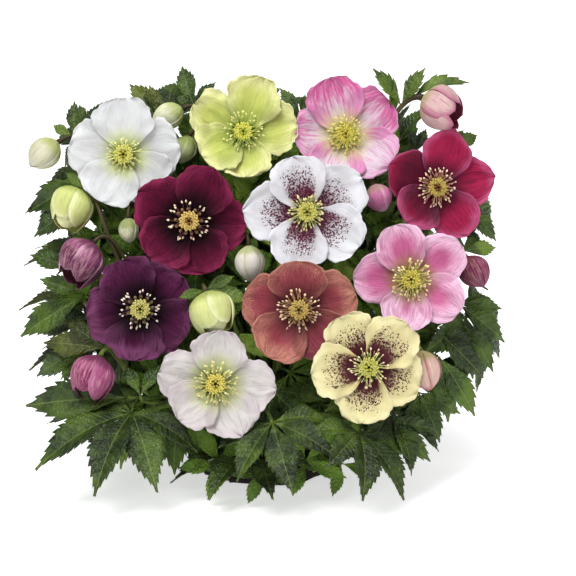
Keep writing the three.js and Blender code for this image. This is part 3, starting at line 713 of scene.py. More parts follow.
BLOOMS = (
    Bloom("white", (-102, -10, 241), -4, 14, 21, 6, 0.8, ((12, 41), (92, 41), (171, 41), (245, 38), (314, 37)),
          SepalFinish("c4c5c6", "cccdce", "9a9c98", "b6bf6c", base_full=8, base_to=24, veins=0.2, fine=0.16,
                      lapped=0.25),
          HeartFinish(carpel="a3a23c", nectary="87943a", crown="c4c266", reach=(9.5, 14), stamens=36,
                      filament="cfd08a", anther="e2dd98", anther_size=0.8), ruffle=1.3, tips=(0.3, 0, 0.5, 0, 0.2)),
    Bloom("lime", (-16, 6, 253), 2, 24, 19, 12, 0.9, ((8, 40), (72, 42), (150, 41), (212, 36), (272, 35)),
          SepalFinish("b6bc62", "dedaa4", "8f9a46", "8b9f3a", base_full=3, base_to=31, base_share=0.6, veins=0.5,
                      fine=0.35, edge_from=0.3),
          HeartFinish(carpel="bcc250", crown="c8c858", nectary="768a2c", stamens=60, reach=(9.5, 17),
                      filament="a0ad50", anther="efebaa", anther_size=0.85), ruffle=1.7),
    Bloom("streaked", (59, 11, 250), 4, 24, 20, 11, 0.8, ((38, 42), (106, 43), (176, 37), (250, 38), (324, 40)),
          SepalFinish("c9b6c2", "cc97ba", "b8588f", "c6c17c", base_full=9, base_to=25, veins=0.5, fine=0.55,
                      edge_from=0.5, lapped=0.6, flush="b93a7e"),
          HeartFinish(crown="c4b850", carpel="c4b84c", nectary="a59c3c", stamens=84, reach=(7.5, 15.5),
                      filament="b9b456", anther="e6dc80", anther_size=0.9), ruffle=1.2,
          flush=(0.72, 0.8, 0.5, 0.1, 0.12)),
    Bloom("red", (125, -4, 215), 12, 14, 18, 9, 1.5, ((8, 46), (71, 45), (153, 40), (222, 36), (302, 42)),
          SepalFinish("931740", "b2527a", "560d2a", "33081a", base_full=11, base_to=27, veins=0.6, fine=0.55,
                      back="a65a6a", lapped=0.3, edge_from=0.62, rim_line=0.5, gloss=0.1),
          HeartFinish(carpel="7c5028", crown="b09a4c", nectary="8a6a3c", filament="a87c6c", anther="f2dfba",
                      stamens=44, reach=(11, 16), anther_size=0.85), deeper=(0, 0, 0.3, -0.6, -0.25),
          tips=(0.6, 0.8, 0.3, 0, -0.3), dusk=(0.15, 0.1, 1.2, 0.6, 0.1)),
    Bloom("burgundy", (-55, -40, 198), 5, 15, 20, 6, 1.2, ((-3, 43), (63, 42), (150, 42), (221, 39), (290, 40)),
          SepalFinish("4e0a27", "80264a", "20030d", "0c0105", base_full=13, base_to=32, base_share=0.96, veins=0.5,
                      fine=0.5, edge_from=0.6, mottle=0.5, back="8a4a5c", lapped=0.3, rim_line=0.4, gloss=0.06),
          HeartFinish(carpel="8a6a34", crown="c2a860", nectary="7f6038", filament="4a2226", anther="f0d8b8",
                      anther_size=1.0, stamens=28, reach=(12.5, 16)), ruffle=1.2, tips=(0.4, 0.3, 0.2, 0, 0.1)),
    Bloom("spotted", (31, -45, 206), 0, 14, 20, 7, 1.0, ((31, 46), (106, 41), (180, 46), (255, 41), (327, 45)),
          SepalFinish("c5c4c8", "cfced3", "9d9aa2", "a4906c", base_full=6, base_to=19, base_share=0.6, veins=0.2,
                      fine=0.12, speckle="4a0c28", speckle_from=5, speckle_to=35, speckle_half=12.6, lapped=0.3),
          HeartFinish(carpel="a3a244", crown="bab45e", nectary="717f32", stamens=44, reach=(9.5, 15),
                      filament="b9b476", anther="ddd49c", anther_size=0.85), ruffle=1.2, tips=(0, 0, 0.8, 0, 0)),
    Bloom("pink", (106, -50, 157), 0, 15, 17.5, 10, 1.0, ((35, 44), (107, 41), (178, 42), (261, 37), (328, 42)),
          SepalFinish("b55a86", "dcb8ce", "9c3f6c", "94803c", base_full=8, base_to=23, veins=0.5, fine=0.6,
                      mottle=0.35, back="d9a9bd", edge_from=0.15, lapped=0.45, edge_share=0.95),
          HeartFinish(crown="bcb050", nectary="8f8b38", anther="eae2a4", stamens=64, reach=(8.5, 16.5),
                      filament="b3a862", anther_size=0.9, carpel="bcb254"),
          deeper=(-0.1, 0.15, 0.4, -0.95, -0.25), tips=(0, 0, 0.6, 0, 0.2)),
    Bloom("purple", (-89, -65, 139), 2, 15, 20, 5, 0.9, ((40, 38), (113, 38), (190, 39), (262, 37), (328, 38)),
          SepalFinish("471436", "6c3a5c", "1c0615", "0c0208", base_full=12, base_to=31, base_share=0.95, veins=0.5,
                      fine=0.45, edge_from=0.5, mottle=0.5, back="5c3a56", lapped=0.3, rim_line=0.35, gloss=0.06),
          HeartFinish(carpel="a8a250", crown="b8b068", nectary="6d6638", filament="452434", anther="efe0cc",
                      anther_size=0.95, stamens=30, reach=(12, 15.5)), ruffle=1.7, deeper=(0.4, 0.4, -0.6, -0.85, 0.2)),
    Bloom("rose", (25, -72, 141), 0, 12, 20, 8, 1.1, ((17, 42), (92, 35), (168, 41), (236, 40), (308, 38)),
          SepalFinish("88353f", "c8987c", "66222c", "48161a", base_full=10, base_to=29, base_share=0.9, veins=0.45,
                      fine=0.5, edge_from=0.4, edge_share=0.34, mottle=0.7, back="b98a7c", lapped=0.5, rim_line=0.25,
                      flush="6c2238"),
          HeartFinish(carpel="9a8240", crown="b49a56", nectary="7f6434", filament="a3805c", anther="eed8b4",
                      stamens=42, reach=(11, 16.5), anther_size=0.9), ruffle=0.9, deeper=(-0.5, 0.3, 0.1, -0.6, 0.3),
          tips=(-0.2, 0, 0.3, 0, 0), flush=(0, 0.25, 0.3, 0, 0.9)),
    Bloom("cream", (74, -95, 105), 2, 13, 19, 6, 0.9, ((-22, 39), (47, 41), (121, 41), (186, 41), (262, 40)),
          SepalFinish("cdc392", "d7cfa4", "b0a166", "b08a38", base_full=7, base_to=22, base_share=0.6, veins=0.25,
                      fine=0.16, speckle="42101c", speckle_from=3, speckle_to=34, speckle_half=13.4, speckle_core=1.0,
                      back="d9d79a", lapped=0.35),
          HeartFinish(carpel="b6b650", crown="b2b05a", nectary="6c7834", stamens=36, reach=(9.5, 15.5),
                      filament="c3bd86", anther="e6ddb0", anther_size=0.85), ruffle=1.5, tips=(0, 0, 0, 0.4, 0)),
    Bloom("blush", (-34, -100, 94), 1, 15, 18.5, 9, 1.1, ((-4, 43), (84, 38), (168, 41), (222, 36), (298, 41)),
          SepalFinish("bdb8b5", "bdb3b6", "8b7f85", "aab268", base_full=9, base_to=26, base_share=0.88, veins=0.4,
                      fine=0.22, back="c9c6b4", lapped=0.3),
          HeartFinish(carpel="a89e42", crown="c6ba5a", nectary="596c2c", anther="ddd59a", stamens=66,
                      reach=(9, 17), filament="b6b268", anther_size=0.85), ruffle=1.3, tips=(0.6, 0, 0, 0, 0.3)),
)


@dataclass
class Heart:
    """The middle of one bloom: its carpels, young stamens, nectaries and open stamens."""

    bloom: Bloom
    seed: int
    foot: float = 6.75  # its height over the sepals' base
    carpels: int = 5
    crowd: int = 66  # how many young stamens crowd round the carpels
    crowd_radius: float = 7.0
    nectaries: int = 13
    body: Body = field(default_factory=Body)

    def build(self, skin: bpy.types.Material) -> None:
        """Builds it as one piece.

        Args:
            skin: What it is dressed in.
        """
        self._carpels()
        self._crowd()
        self._nectaries()
        self._stamens()
        self.body.build(f"heart_{self.bloom.name}", skin, "boss", [f"boss_{self.bloom.name}"])

    def _tube(self, points: list[Triple], radii: list[float], sides: int, tint: str) -> None:
        """Adds a tube in the bloom's own axes.

        Args:
            points: The points of its middle line.
            radii: Its radius at each of them.
            sides: How many sides it has.
            tint: Its colour.
        """
        place = place_for(self.bloom.at, self.bloom.yaw, self.bloom.pitch)
        path = moved(np.array(points, dtype=float), place)
        self.body.tube(path, np.array(radii), sides, tint=hue(tint))

    def _carpels(self) -> None:
        """The carpels in the middle, drawn in to their styles."""
        spots = ((1.6, -1.0), (2.3, 1.5), (1.9, 4.0), (1.5, 6.0), (2.1, 7.4))  # how far out and how far up
        for i in range(self.carpels):
            a = math.radians(72 * i + 20)
            c, s = math.cos(a), math.sin(a)
            self._tube([(out * c, out * s, self.foot + up) for out, up in spots], [1.3, 1.5, 1.0, 0.5, 0.45], 8,
                       self.bloom.heart.carpel)

    def _crowd(self) -> None:
        """The young stamens, packed round the carpels in a low dome."""
        for i in range(self.crowd):
            a = 2 * math.pi * (i * 0.618 + 0.02 * draw(self.seed, i))
            share = 0.42 + 0.58 * (i + 0.5) / self.crowd
            away = self.crowd_radius * share
            top = self.foot + 4.6 - 9.0 * (share - 0.72) ** 2 - 1.0 * draw(self.seed, i + 150)
            c, s = math.cos(a), math.sin(a)
            spots = [(away * 0.6 * c, away * 0.6 * s, self.foot - 0.5), (away * c, away * s, top - 1.3),
                     (away * 1.02 * c, away * 1.02 * s, top), (away * 0.96 * c, away * 0.96 * s, top + 0.9)]
            self._tube(spots, [0.5, 0.7, 0.98, 0.4], 6, self.bloom.heart.crown)

    def _nectaries(self) -> None:
        """The ring of nectaries, short open horns."""
        for i in range(self.nectaries):
            a = 2 * math.pi * (i + 0.3 * draw(self.seed, i + 200)) / self.nectaries
            c, s = math.cos(a), math.sin(a)
            out = self.crowd_radius + 1.6 + 0.9 * draw(self.seed, i + 220)
            spots = [(5.2 * c, 5.2 * s, self.foot - 2.5), (7.6 * c, 7.6 * s, self.foot - 1.8),
                     (out * c, out * s, self.foot), (out * 1.05 * c, out * 1.05 * s, self.foot + 1.2)]
            self._tube(spots, [0.7, 1.0, 1.3, 1.0], 8, self.bloom.heart.nectary)

    def _stamens(self) -> None:
        """The open stamens, thin filaments that end in anthers."""
        look = self.bloom.heart
        low, high = look.reach
        for i in range(look.stamens):
            a = 2 * math.pi * (i + 0.8 * draw(self.seed, i + 60)) / look.stamens * 3.0
            out = low + (high - low) * draw(self.seed, i + 80)
            height = self.foot - 0.6 + 0.24 * self.bloom.cup + 4.2 * draw(self.seed, i + 70) * (1.15 - out / 22)
            bend = a + 0.35 * (draw(self.seed, i + 300) - 0.5)
            c, s, cc, ss = math.cos(a), math.sin(a), math.cos(bend), math.sin(bend)
            spots = [(4.8 * c, 4.8 * s, self.foot - 1), (out * 0.55 * c, out * 0.55 * s, height + 0.8),
                     (out * 0.85 * cc, out * 0.85 * ss, height + 0.9),
                     (out * 0.97 * cc, out * 0.97 * ss, height + 0.2)]
            self._tube(spots, [0.3, 0.22, 0.17, 0.2], 5, look.filament)
            size = look.anther_size * (0.8 + 0.4 * draw(self.seed, i + 320))
            tips = [(out * 0.95 + size * 1.25 * x) for x in (-0.6, -0.2, 0.35, 0.95)]
            spots = [(r * cc, r * ss, height + 0.2 - 0.35 * j) for j, r in enumerate(tips)]
            self._tube(spots, [0.35 * size, 0.72 * size, 0.66 * size, 0.25 * size], 7, look.anther)


@dataclass
class Blooms:
    """The open flowers: five lapped sepals each, with a heart of carpels, nectaries and stamens."""

    layers: tuple[int, ...] = (0, 3, 1, 4, 2)  # which sepal lies under which
    layer: float = 0.95  # how far one sepal lies over the next
    curl: float = 0.8  # how much further their tips part
    claw: float = 0.05  # the share of its length at which a sepal's grid begins
    widest: float = 0.58  # the share of its length at which a sepal is widest
    fuller: float = 1.07  # how much wider the sepals are than a bloom's width says
    blunt: float = 0.86  # how much of a bloom's point their tips take on
    thick: float = 0.5
    rows: int = 18
    columns: int = 23

    def build(self) -> None:
        """Builds every bloom."""
        skin = HeartSkin().material()
        for number, bloom in enumerate(BLOOMS):
            self._corolla(bloom, number)
            Heart(bloom, 500 + number).build(skin)

    def _corolla(self, bloom: Bloom, number: int) -> None:
        """Builds the five sepals of a bloom, and the receptacle behind them.

        Args:
            bloom: The bloom.
            number: Its place in the list.
        """
        body = Body()
        place = place_for(bloom.at, bloom.yaw, bloom.pitch)
        for k in range(SEPALS):
            grid, thickness, values = self._sepal(bloom, k, 40 + 7 * number + k)
            body.shell(moved(grid, place), thickness, **values)
        heights = np.array([-4.0, -3.2, -1.6, 0.0, 2.6, 5.4, 6.5])
        path = np.stack([0 * heights, 0 * heights, heights], axis=1)
        radii = np.array([1.6, 2.6, 5.0, 6.6, 6.4, 5.6, 3.0])
        body.tube(moved(path, place), radii, 20, reach=2.0, rim=0.1)
        body.build(f"sepals_{bloom.name}", bloom.finish.material(f"sepal_{bloom.name}"),
                   f"sepal_{bloom.name}", [f"bloom_{bloom.name}"])

    def _sepal(self, bloom: Bloom, k: int, seed: int) -> tuple[np.ndarray, np.ndarray, dict]:
        """Shapes one sepal.

        Args:
            bloom: The bloom.
            k: Which of its sepals.
            seed: What sets the sepal's irregularities.

        Returns:
            Its grid of points, its thickness and its named values.
        """
        direction, length = bloom.sepals[k]
        # Rows run from the claw to the widest place, and then round the tip, where they lie closer.
        turn = np.linspace(0, math.radians(88.6), self.rows + 2)[:, None]
        inner = np.linspace(self.claw, self.widest, self.rows, endpoint=False)[:, None]
        s = np.concatenate([inner, self.widest + (1 - self.widest) * np.sin(turn)])
        narrow = self._narrow(inner / self.widest)
        taper = bloom.point * self.blunt * (1 + 0.5 * bloom.tips[k])
        shape = np.concatenate([narrow, np.cos(turn) ** taper]) * self.fuller
        # Columns lie a little closer towards the two sides, and the rim value is 1 all round the outline.
        side = np.linspace(-1, 1, self.columns)
        t = (np.sign(side) * np.abs(side) ** 0.85)[None, :]
        beyond = np.clip((s - self.widest) / (1 - self.widest), 0, 1)
        rim = np.sqrt(np.clip(beyond ** 2 + t ** 2 * (1 - beyond ** 2), 0, 1))
        # The outline wavers in long and short waves that differ on its two sides.
        round_rim = np.concatenate([inner / self.widest, 1 + turn])  # how far round the outline each row lies
        hand = np.sign(t)
        wobble = (0.036 * np.sin(4.3 * round_rim + 1.7 * seed + 2 * hand) + 0.022 * np.sin(
            9.7 * round_rim + seed + 4 * hand) + 0.011 * np.sin(21 * round_rim + 2 * seed + hand))
        settled = np.concatenate([np.ones_like(inner), np.cos(turn) ** 0.4])
        grown = 1 + bloom.ruffle * wobble * settled * rim ** 3
        # The grid in millimetres, laid out in the sepal's own direction.
        aside = t * bloom.width * shape * grown
        along = length * (np.minimum(s, self.widest) + (1 - self.widest) * beyond * grown)
        away = np.hypot(along, aside)
        angle = math.radians(direction) + np.arctan2(aside, along)
        # Its height: a bowl, its own layer, a wavy edge, ripples along it and a groove down its middle.
        bowl = bloom.cup * (away / length) ** 1.5 + 0.1 * (np.sqrt(aside ** 2 + 9) - 3)
        lift = self.layers[k] * self.layer + (self.layers[k] - 2) * self.curl * s ** 2
        edge = ease(rim, 0.45, 1.0)
        wave = np.sin(13 * s + 2.3 * seed) * np.sign(t) + 0.7 * np.sin(21 * s * np.sign(t) + 1.3 * seed)
        wave = wave * np.abs(t) + np.cos(9 * t + seed) * beyond
        ripple = 0.5 * np.sin(7 * t + seed) * s + 0.3 * np.cos(14 * t + 3 * seed) * ease(s, 0.2, 0.8)
        groove = -0.7 * np.exp(-(aside / 2.2) ** 2) * ease(s, 0.1, 0.4) * (1 - ease(s, 0.75, 1.0))
        height = bowl + lift + bloom.ruffle * edge * wave * 0.75 + ripple + groove
        grid = np.stack([away * np.cos(angle), away * np.sin(angle), height], axis=2)
        thickness = self.thick * (1 - 0.45 * rim ** 3)
        # Where the sepal lies over a neighbour, which its finish paints darker as painted shade.
        lapped = self._lapped(bloom, k, away, angle)
        values = {"along": s, "aside": t, "rim": rim, "reach": away, "across": aside, "seed": float(seed),
                  "lapped": lapped, "flush": bloom.flush[k], "deeper": bloom.deeper[k], "dusk": bloom.dusk[k]}
        return grid, thickness, values

    def _narrow(self, share: np.ndarray) -> np.ndarray:
        """How wide a sepal is at a share of the way from its claw to its widest place."""
        return 0.14 + 0.86 * np.sin(np.pi / 2 * share) ** 1.25

    def _lapped(self, bloom: Bloom, k: int, away: np.ndarray, angle: np.ndarray) -> np.ndarray:
        """Finds where a sepal lies over a neighbour.

        Args:
            bloom: The bloom.
            k: Which of its sepals.
            away: How far each point lies from the middle.
            angle: The direction of each point.

        Returns:
            How surely each point lies over a neighbour, from 0 to 1.
        """
        found = np.zeros_like(away)
        for j in range(SEPALS):
            if self.layers[j] >= self.layers[k]:
                continue
            direction, length = bloom.sepals[j]
            off = angle - math.radians(direction)
            s = np.clip(away * np.cos(off) / length, 0, 1)
            beyond = np.clip((s - self.widest) / (1 - self.widest), 0, 1)
            inner = self._narrow(np.minimum(s, self.widest) / self.widest)
            half = bloom.width * inner * np.sqrt(1 - beyond ** 2) ** (bloom.point * self.blunt) * self.fuller
            inside = ease(half - np.abs(away * np.sin(off)), -0.4, 1.2) * (np.cos(off) > 0)
            found = np.maximum(found, inside)
        return found


# ---- Buds ------------------------------------------------------------------------------------------------


class BudSlot(Enum):
    """The record's material slots for buds."""

    PALE = "bud_pale"
    LIME = "bud_lime"
    PLUM = "bud_plum"
    PINK = "bud_pink"


@dataclass(frozen=True)
class Bud:
    """One bud: where its base is, the way its tip points, and how far it has parted."""

    name: str
    at: Triple  # where it joins its stalk
    yaw: float  # degrees that its tip points to the right
    pitch: float  # degrees that its tip points up
    length: float
    radius: float
    open: float  # how far it has parted, 0 for a tight one
    slot: BudSlot
    finish: SepalFinish
    flush: tuple[float, ...] = EVEN  # how much of the deeper colour each sepal carries, partly painted shade on the bells' sepals that face away from the light
    filled: bool = False  # whether inner sepals close its mouth


BUDS = (
    Bud("bud_ivory", (-152, -2, 249), -69, -36, 27, 11, 0, BudSlot.PALE,
        SepalFinish("c0bca4", "cac6b8", "989e5e", "a0a75e", base_to=14, veins=0.5, fine=0.3, back_share=0)),
    Bud("bud_cream", (-61, 15, 271), -77, -27, 25, 9.5, 0, BudSlot.PALE,
        SepalFinish("d3d3b4", "dcd9c8", "a0a860", "9ba658", base_to=15, veins=0.5, fine=0.3, back_share=0)),
    Bud("bud_green", (-56, 16, 250), -49, -63, 21, 8.5, 0, BudSlot.PALE,
        SepalFinish("bcc08a", "d3d3b0", "8c9854", "7c8c42", base_to=12, veins=0.5, fine=0.3, back_share=0)),
    Bud("bud_lime_bell", (-136, -12, 217), -39, -56, 33, 15.5, 0.55, BudSlot.LIME,
        SepalFinish("bcc07a", "dcdcae", "9ba65a", "8f9a4a", base_to=14, veins=0.5, fine=0.35, back="c6ca74",
                    back_share=0.8), filled=True),
    Bud("bud_small", (-99, -33, 199), 5, -76, 18, 7, 0, BudSlot.PALE,
        SepalFinish("d8d8b6", "e2decc", "8d9452", "7c8a42", base_to=11, veins=0.5, fine=0.3, back_share=0)),
    # The plum and magenta bells carry their deeper colour on chosen sepals: partly their own colour and partly painted
    # shade on the side away from the light.
    Bud("bud_plum_bell", (-124, -40, 182), -56, -48, 34, 16.5, 0.6, BudSlot.PLUM,
        SepalFinish("7a3a60", "bf94aa", "c4a0a0", "5a1e3e", base_to=12, veins=0.45, fine=0.45, back="4d0f2c",
                    back_share=0.75, mottle=0.4, flush="521239"), (1.2, 1.9, 0, 0.8, 2.0)),
    Bud("bud_magenta_bell", (-118, -76, 107), -41, -59, 34, 15.5, 0.5, BudSlot.PLUM,
        SepalFinish("92426c", "a86088", "c698a0", "5c2240", base_to=12, veins=0.28, fine=0.6, back="4d0f2c",
                    back_share=0.75, mottle=0.3, flush="74204c"), (0.3, 2.6, 0, 0, 1.8)),
    Bud("bud_pale", (-11, -44, 181), 9, -73, 26, 10.5, 0, BudSlot.PALE,
        SepalFinish("dcd5cc", "c4be9e", "c9bfa6", "a9b270", base_to=9, veins=0.3, fine=0.2, back_share=0)),
    Bud("bud_green_bell", (-41, -81, 156), 31, -56, 32, 15.5, 0.55, BudSlot.LIME,
        SepalFinish("bfc382", "dadab0", "9ba65a", "8f9a4a", base_to=14, veins=0.5, fine=0.35, back="c6ca74",
                    back_share=0.8), filled=True),
    Bud("bud_pink_bell", (117, 10, 280), 63, -24, 33, 15.5, 0.42, BudSlot.PINK,
        SepalFinish("c4a6a2", "a64676", "a8667c", "a89e6c", base_to=13, veins=0.6, fine=0.45, edge_from=0.42,
                    back="7c1c46", back_share=0.85)),
    Bud("bud_rosy", (80, -12, 219), 49, -59, 21, 9.5, 0, BudSlot.PINK,
        SepalFinish("b56a92", "cfa0b8", "8a3560", "8a8458", base_to=8, base_share=0.5, veins=0.5, fine=0.4,
                    back_share=0)),
    Bud("bud_wine", (148, -27, 168), 55, -53, 25, 11.5, 0, BudSlot.PLUM,
        SepalFinish("641e44", "843a60", "b88e80", "5c2a34", base_to=9, veins=0.45, fine=0.5, back_share=0)),
    Bud("bud_peach", (112, -80, 112), 36, -66, 29, 11.5, 0, BudSlot.PINK,
        SepalFinish("bd9a92", "a04e62", "cbb69c", "978e56", base_to=10, veins=0.55, fine=0.4, edge_from=0.75,
                    back_share=0)),
)


@dataclass
class Buds:
    """The buds: five lapped sepals each, tight as an egg or parted into a bell."""

    lap: float = 0.07  # how far one edge of a sepal stands out over its neighbour
    thick: float = 0.55
    rows: int = 20
    columns: int = 13
    stamens: int = 26  # how many show in the mouth of a bell

    def build(self) -> None:
        """Builds every bud."""
        skin = HeartSkin().material()
        for number, bud in enumerate(BUDS):
            body = Body()
            place = place_for(bud.at, bud.yaw, bud.pitch)
            for k in range(SEPALS):
                grid, rim, s, t = self._sepal(bud, 360 / SEPALS * k, 900 + 9 * number + k)
                away = s * bud.length * 1.1
                body.shell(moved(grid, place), self.thick * (1 - 0.4 * rim ** 3), along=s, aside=t, rim=rim,
                           reach=away, across=t * bud.radius, seed=float(60 + 5 * number + k), flush=bud.flush[k])
            if bud.filled:
                self._filling(body, bud, number, place)
            material = bud.finish.material(bud.name)
            body.build(f"{bud.name}_sepals", material, bud.slot.value, [bud.name])
            if bud.open:
                self._inside(bud, number, place, skin)

    def _filling(self, body: Body, bud: Bud, number: int, place: np.ndarray) -> None:
        """Adds the inner sepals that close the mouth of a bell, as one bluntly rounded body.

        Args:
            body: What they are added to.
            bud: The bud.
            number: Its place in the list.
            place: Its place in the clump.
        """
        share = np.linspace(0.02, 1, 16)
        path = np.stack([0 * share, 0 * share, bud.length * (0.3 + 0.66 * share)], axis=1)
        radii = bud.radius * 0.7 * np.sqrt(1 - share ** 2.6 * 0.97)
        body.tube(moved(path, place), radii, 20, along=share, rim=share, reach=share * 30.0, across=4.0,
                  seed=float(number), turn=0.0)

    def _sepal(self, bud: Bud, direction: float, seed: int) -> tuple[np.ndarray, ...]:
        """Shapes one sepal of a bud.

        Args:
            bud: The bud.
            direction: The side of the bud that the sepal is on, in degrees.
            seed: What sets the sepal's irregularities.

        Returns:
            Its grid of points, how near each is to the rim, and the shares along and across the grid.
        """
        s = np.linspace(0.0, 1.0, self.rows)[:, None]
        t = np.linspace(1, -1, self.columns)[None, :]
        # Radius and half angle by the share of the way up, for a parted bell and for a tight bud.
        if bud.open:
            mouth = 0.38 + 0.3 * bud.open
            stops = [0, 0.04, 0.12, 0.25, 0.4, 0.6, 0.8, 0.92, 1.0]
            wide = [0.12, 0.36, 0.66, 0.9, 1.0, 0.97, 0.84, mouth + 0.13, mouth + 0.06]
            half = 52 * np.interp(s, [0, 0.3, 0.7, 0.84, 0.93, 0.98, 1.0], [0.9, 1.0, 1.0, 0.86, 0.62, 0.34, 0.06])
            end = 0.92 - 0.08 * math.sin(math.radians(direction))
        else:
            stops = [0, 0.04, 0.12, 0.25, 0.4, 0.6, 0.78, 0.9, 0.97, 1.0]
            wide = [0.12, 0.34, 0.62, 0.85, 0.98, 0.94, 0.74, 0.46, 0.22, 0.08]
            half = 48 * np.interp(s, [0, 0.3, 0.7, 0.9, 1.0], [0.9, 1.0, 1.0, 0.9, 0.7])
            end = 0.99
        beyond = np.clip((s - 0.7) / 0.3, 0, 1)
        rim = np.sqrt(np.clip(beyond ** 2 + t ** 2 * (1 - beyond ** 2), 0, 1))
        smooth = np.interp(s, stops, wide)
        for _ in range(2):
            padded = np.pad(smooth[:, 0], 1, mode="edge")
            smooth[1:-1, 0] = (padded[:-2] + 2 * padded[1:-1] + padded[2:])[1:-1] / 4
        away = bud.radius * smooth * (1 + self.lap * t + 0.02 * np.sin(5 * t + seed) * s)
        away = away * (1 + 0.03 * np.cos(math.pi * t)) + 0.25
        angle = np.radians(direction + half * t)
        height = bud.length * (s * end) + 0.5 * np.sin(9 * s + seed) * np.abs(t) * s
        shape = (away * np.cos(angle), away * np.sin(angle), np.broadcast_to(height, away.shape))
        return np.stack(shape, axis=2), rim, s, t

    def _inside(self, bud: Bud, number: int, place: np.ndarray, skin: bpy.types.Material) -> None:
        """Builds the stamens that show in the mouth of a bell.

        Args:
            bud: The bud.
            number: Its place in the list.
            place: Its place in the clump.
            skin: What they are dressed in.
        """
        body = Body()
        for i in range(self.stamens):
            a = 2 * math.pi * draw(700 + number, i)
            out = bud.radius * 0.42 * math.sqrt(draw(700 + number, i + 40))
            top = bud.length * (0.5 + 0.2 * draw(700 + number, i + 80))
            c, s = out * math.cos(a), out * math.sin(a)
            path = np.array([(c * 0.3, s * 0.3, 3), (c * 0.8, s * 0.8, top - 4), (c, s, top - 2), (c, s, top)])
            body.tube(moved(path, place), np.array([0.3, 0.3, 0.9, 0.5]), 6, tint=hue("e6dc9c"))
        body.build(f"{bud.name}_stamens", skin, "boss", [])


# ---- Leaves ----------------------------------------------------------------------------------------------


@dataclass(frozen=True)
class Leaf:
    """One fingered leaf: where its leaflets meet, how it lies, and how its stalk comes up to it."""

    hub: Triple
    facing: float  # the direction that its middle leaflet points in, in degrees round the clump
    slope: float  # degrees that the middle leaflet rises
    roll: float  # degrees that the leaf is turned about its middle leaflet
    size: float  # the middle leaflet's length
    fingers: int = 5
    tone: LeafTone = LeafTone.DARK
    lean: Pair = (0, 0)  # how far its stalk leans aside as it leaves the soil


@dataclass(frozen=True)
class Shoot:
    """Leaves that rise from one place in the soil."""

    name: str
    root: Pair
    leaves: tuple[Leaf, ...]


SHOOTS = (
    Shoot("leaves_1", (-34, -24), (Leaf((-95, -86, 67), 205, -13, -17, 74, 7),
                                   Leaf((-121, -20, 98), 195, -2, -4, 56))),
    Shoot("leaves_2", (-4, -46), (Leaf((6, -110, 68), 286, -30, 20, 56),
                                  Leaf((-7, -73, 33), 240, -3, 4, 66))),
    Shoot("leaves_3", (30, -38), (Leaf((68, -102, 58), 322, -36, 1, 54, 7),
                                  Leaf((90, -72, 66), 300, -40, -10, 54))),
    # The first leaf here is given a lighter green as painted light, where it faces down and away from the lamps.
    Shoot("leaves_4", (44, -14), (Leaf((148, -20, 122), 334, -66, 12, 60, 7, LeafTone.MID),
                                  Leaf((120, 50, 136), 25, -4, 0, 60))),
    Shoot("leaves_5", (46, 8), (Leaf((146, 34, 209), 24, -42, 60, 51),
                                Leaf((92, 36, 166), 72, 58, 0, 58))),
    Shoot("leaves_6", (36, 26), (Leaf((99, 47, 233), 75, 60, -45, 43),
                                 Leaf((75, 92, 112), 50, -8, 0, 62))),
    Shoot("leaves_7", (12, 40), (Leaf((-3, 57, 248), 79, 36, -20, 54, lean=(-16, 18)),
                                 Leaf((5, 106, 86), 90, -8, 0, 64))),
    Shoot("leaves_8", (-14, 38), (Leaf((-74, 46, 253), 86, 40, -8, 49),
                                  Leaf((-66, 92, 110), 128, -8, 0, 62),
                                  Leaf((-32, 46, 150), 98, 68, 0, 54))),
    Shoot("leaves_9", (-34, 26), (Leaf((-133, 22, 244), 114, 39, -48, 41),
                                  Leaf((-90, 22, 170), 106, 72, 0, 54))),
    Shoot("leaves_10", (-46, 10), (Leaf((-142, 24, 207), 165, -40, 28, 46, lean=(-4, 14)),
                                   Leaf((-130, 11, 160), 150, 10, -5, 54))),
    Shoot("leaves_11", (-48, -12), (Leaf((-138, -2, 129), 178, 2, -8, 45, tone=LeafTone.OLIVE),)),
    Shoot("leaves_12", (2, 30), (Leaf((32, 53, 180), 86, 68, 0, 52),
                                 Leaf((46, 46, 128), 82, 66, 0, 60))),
)


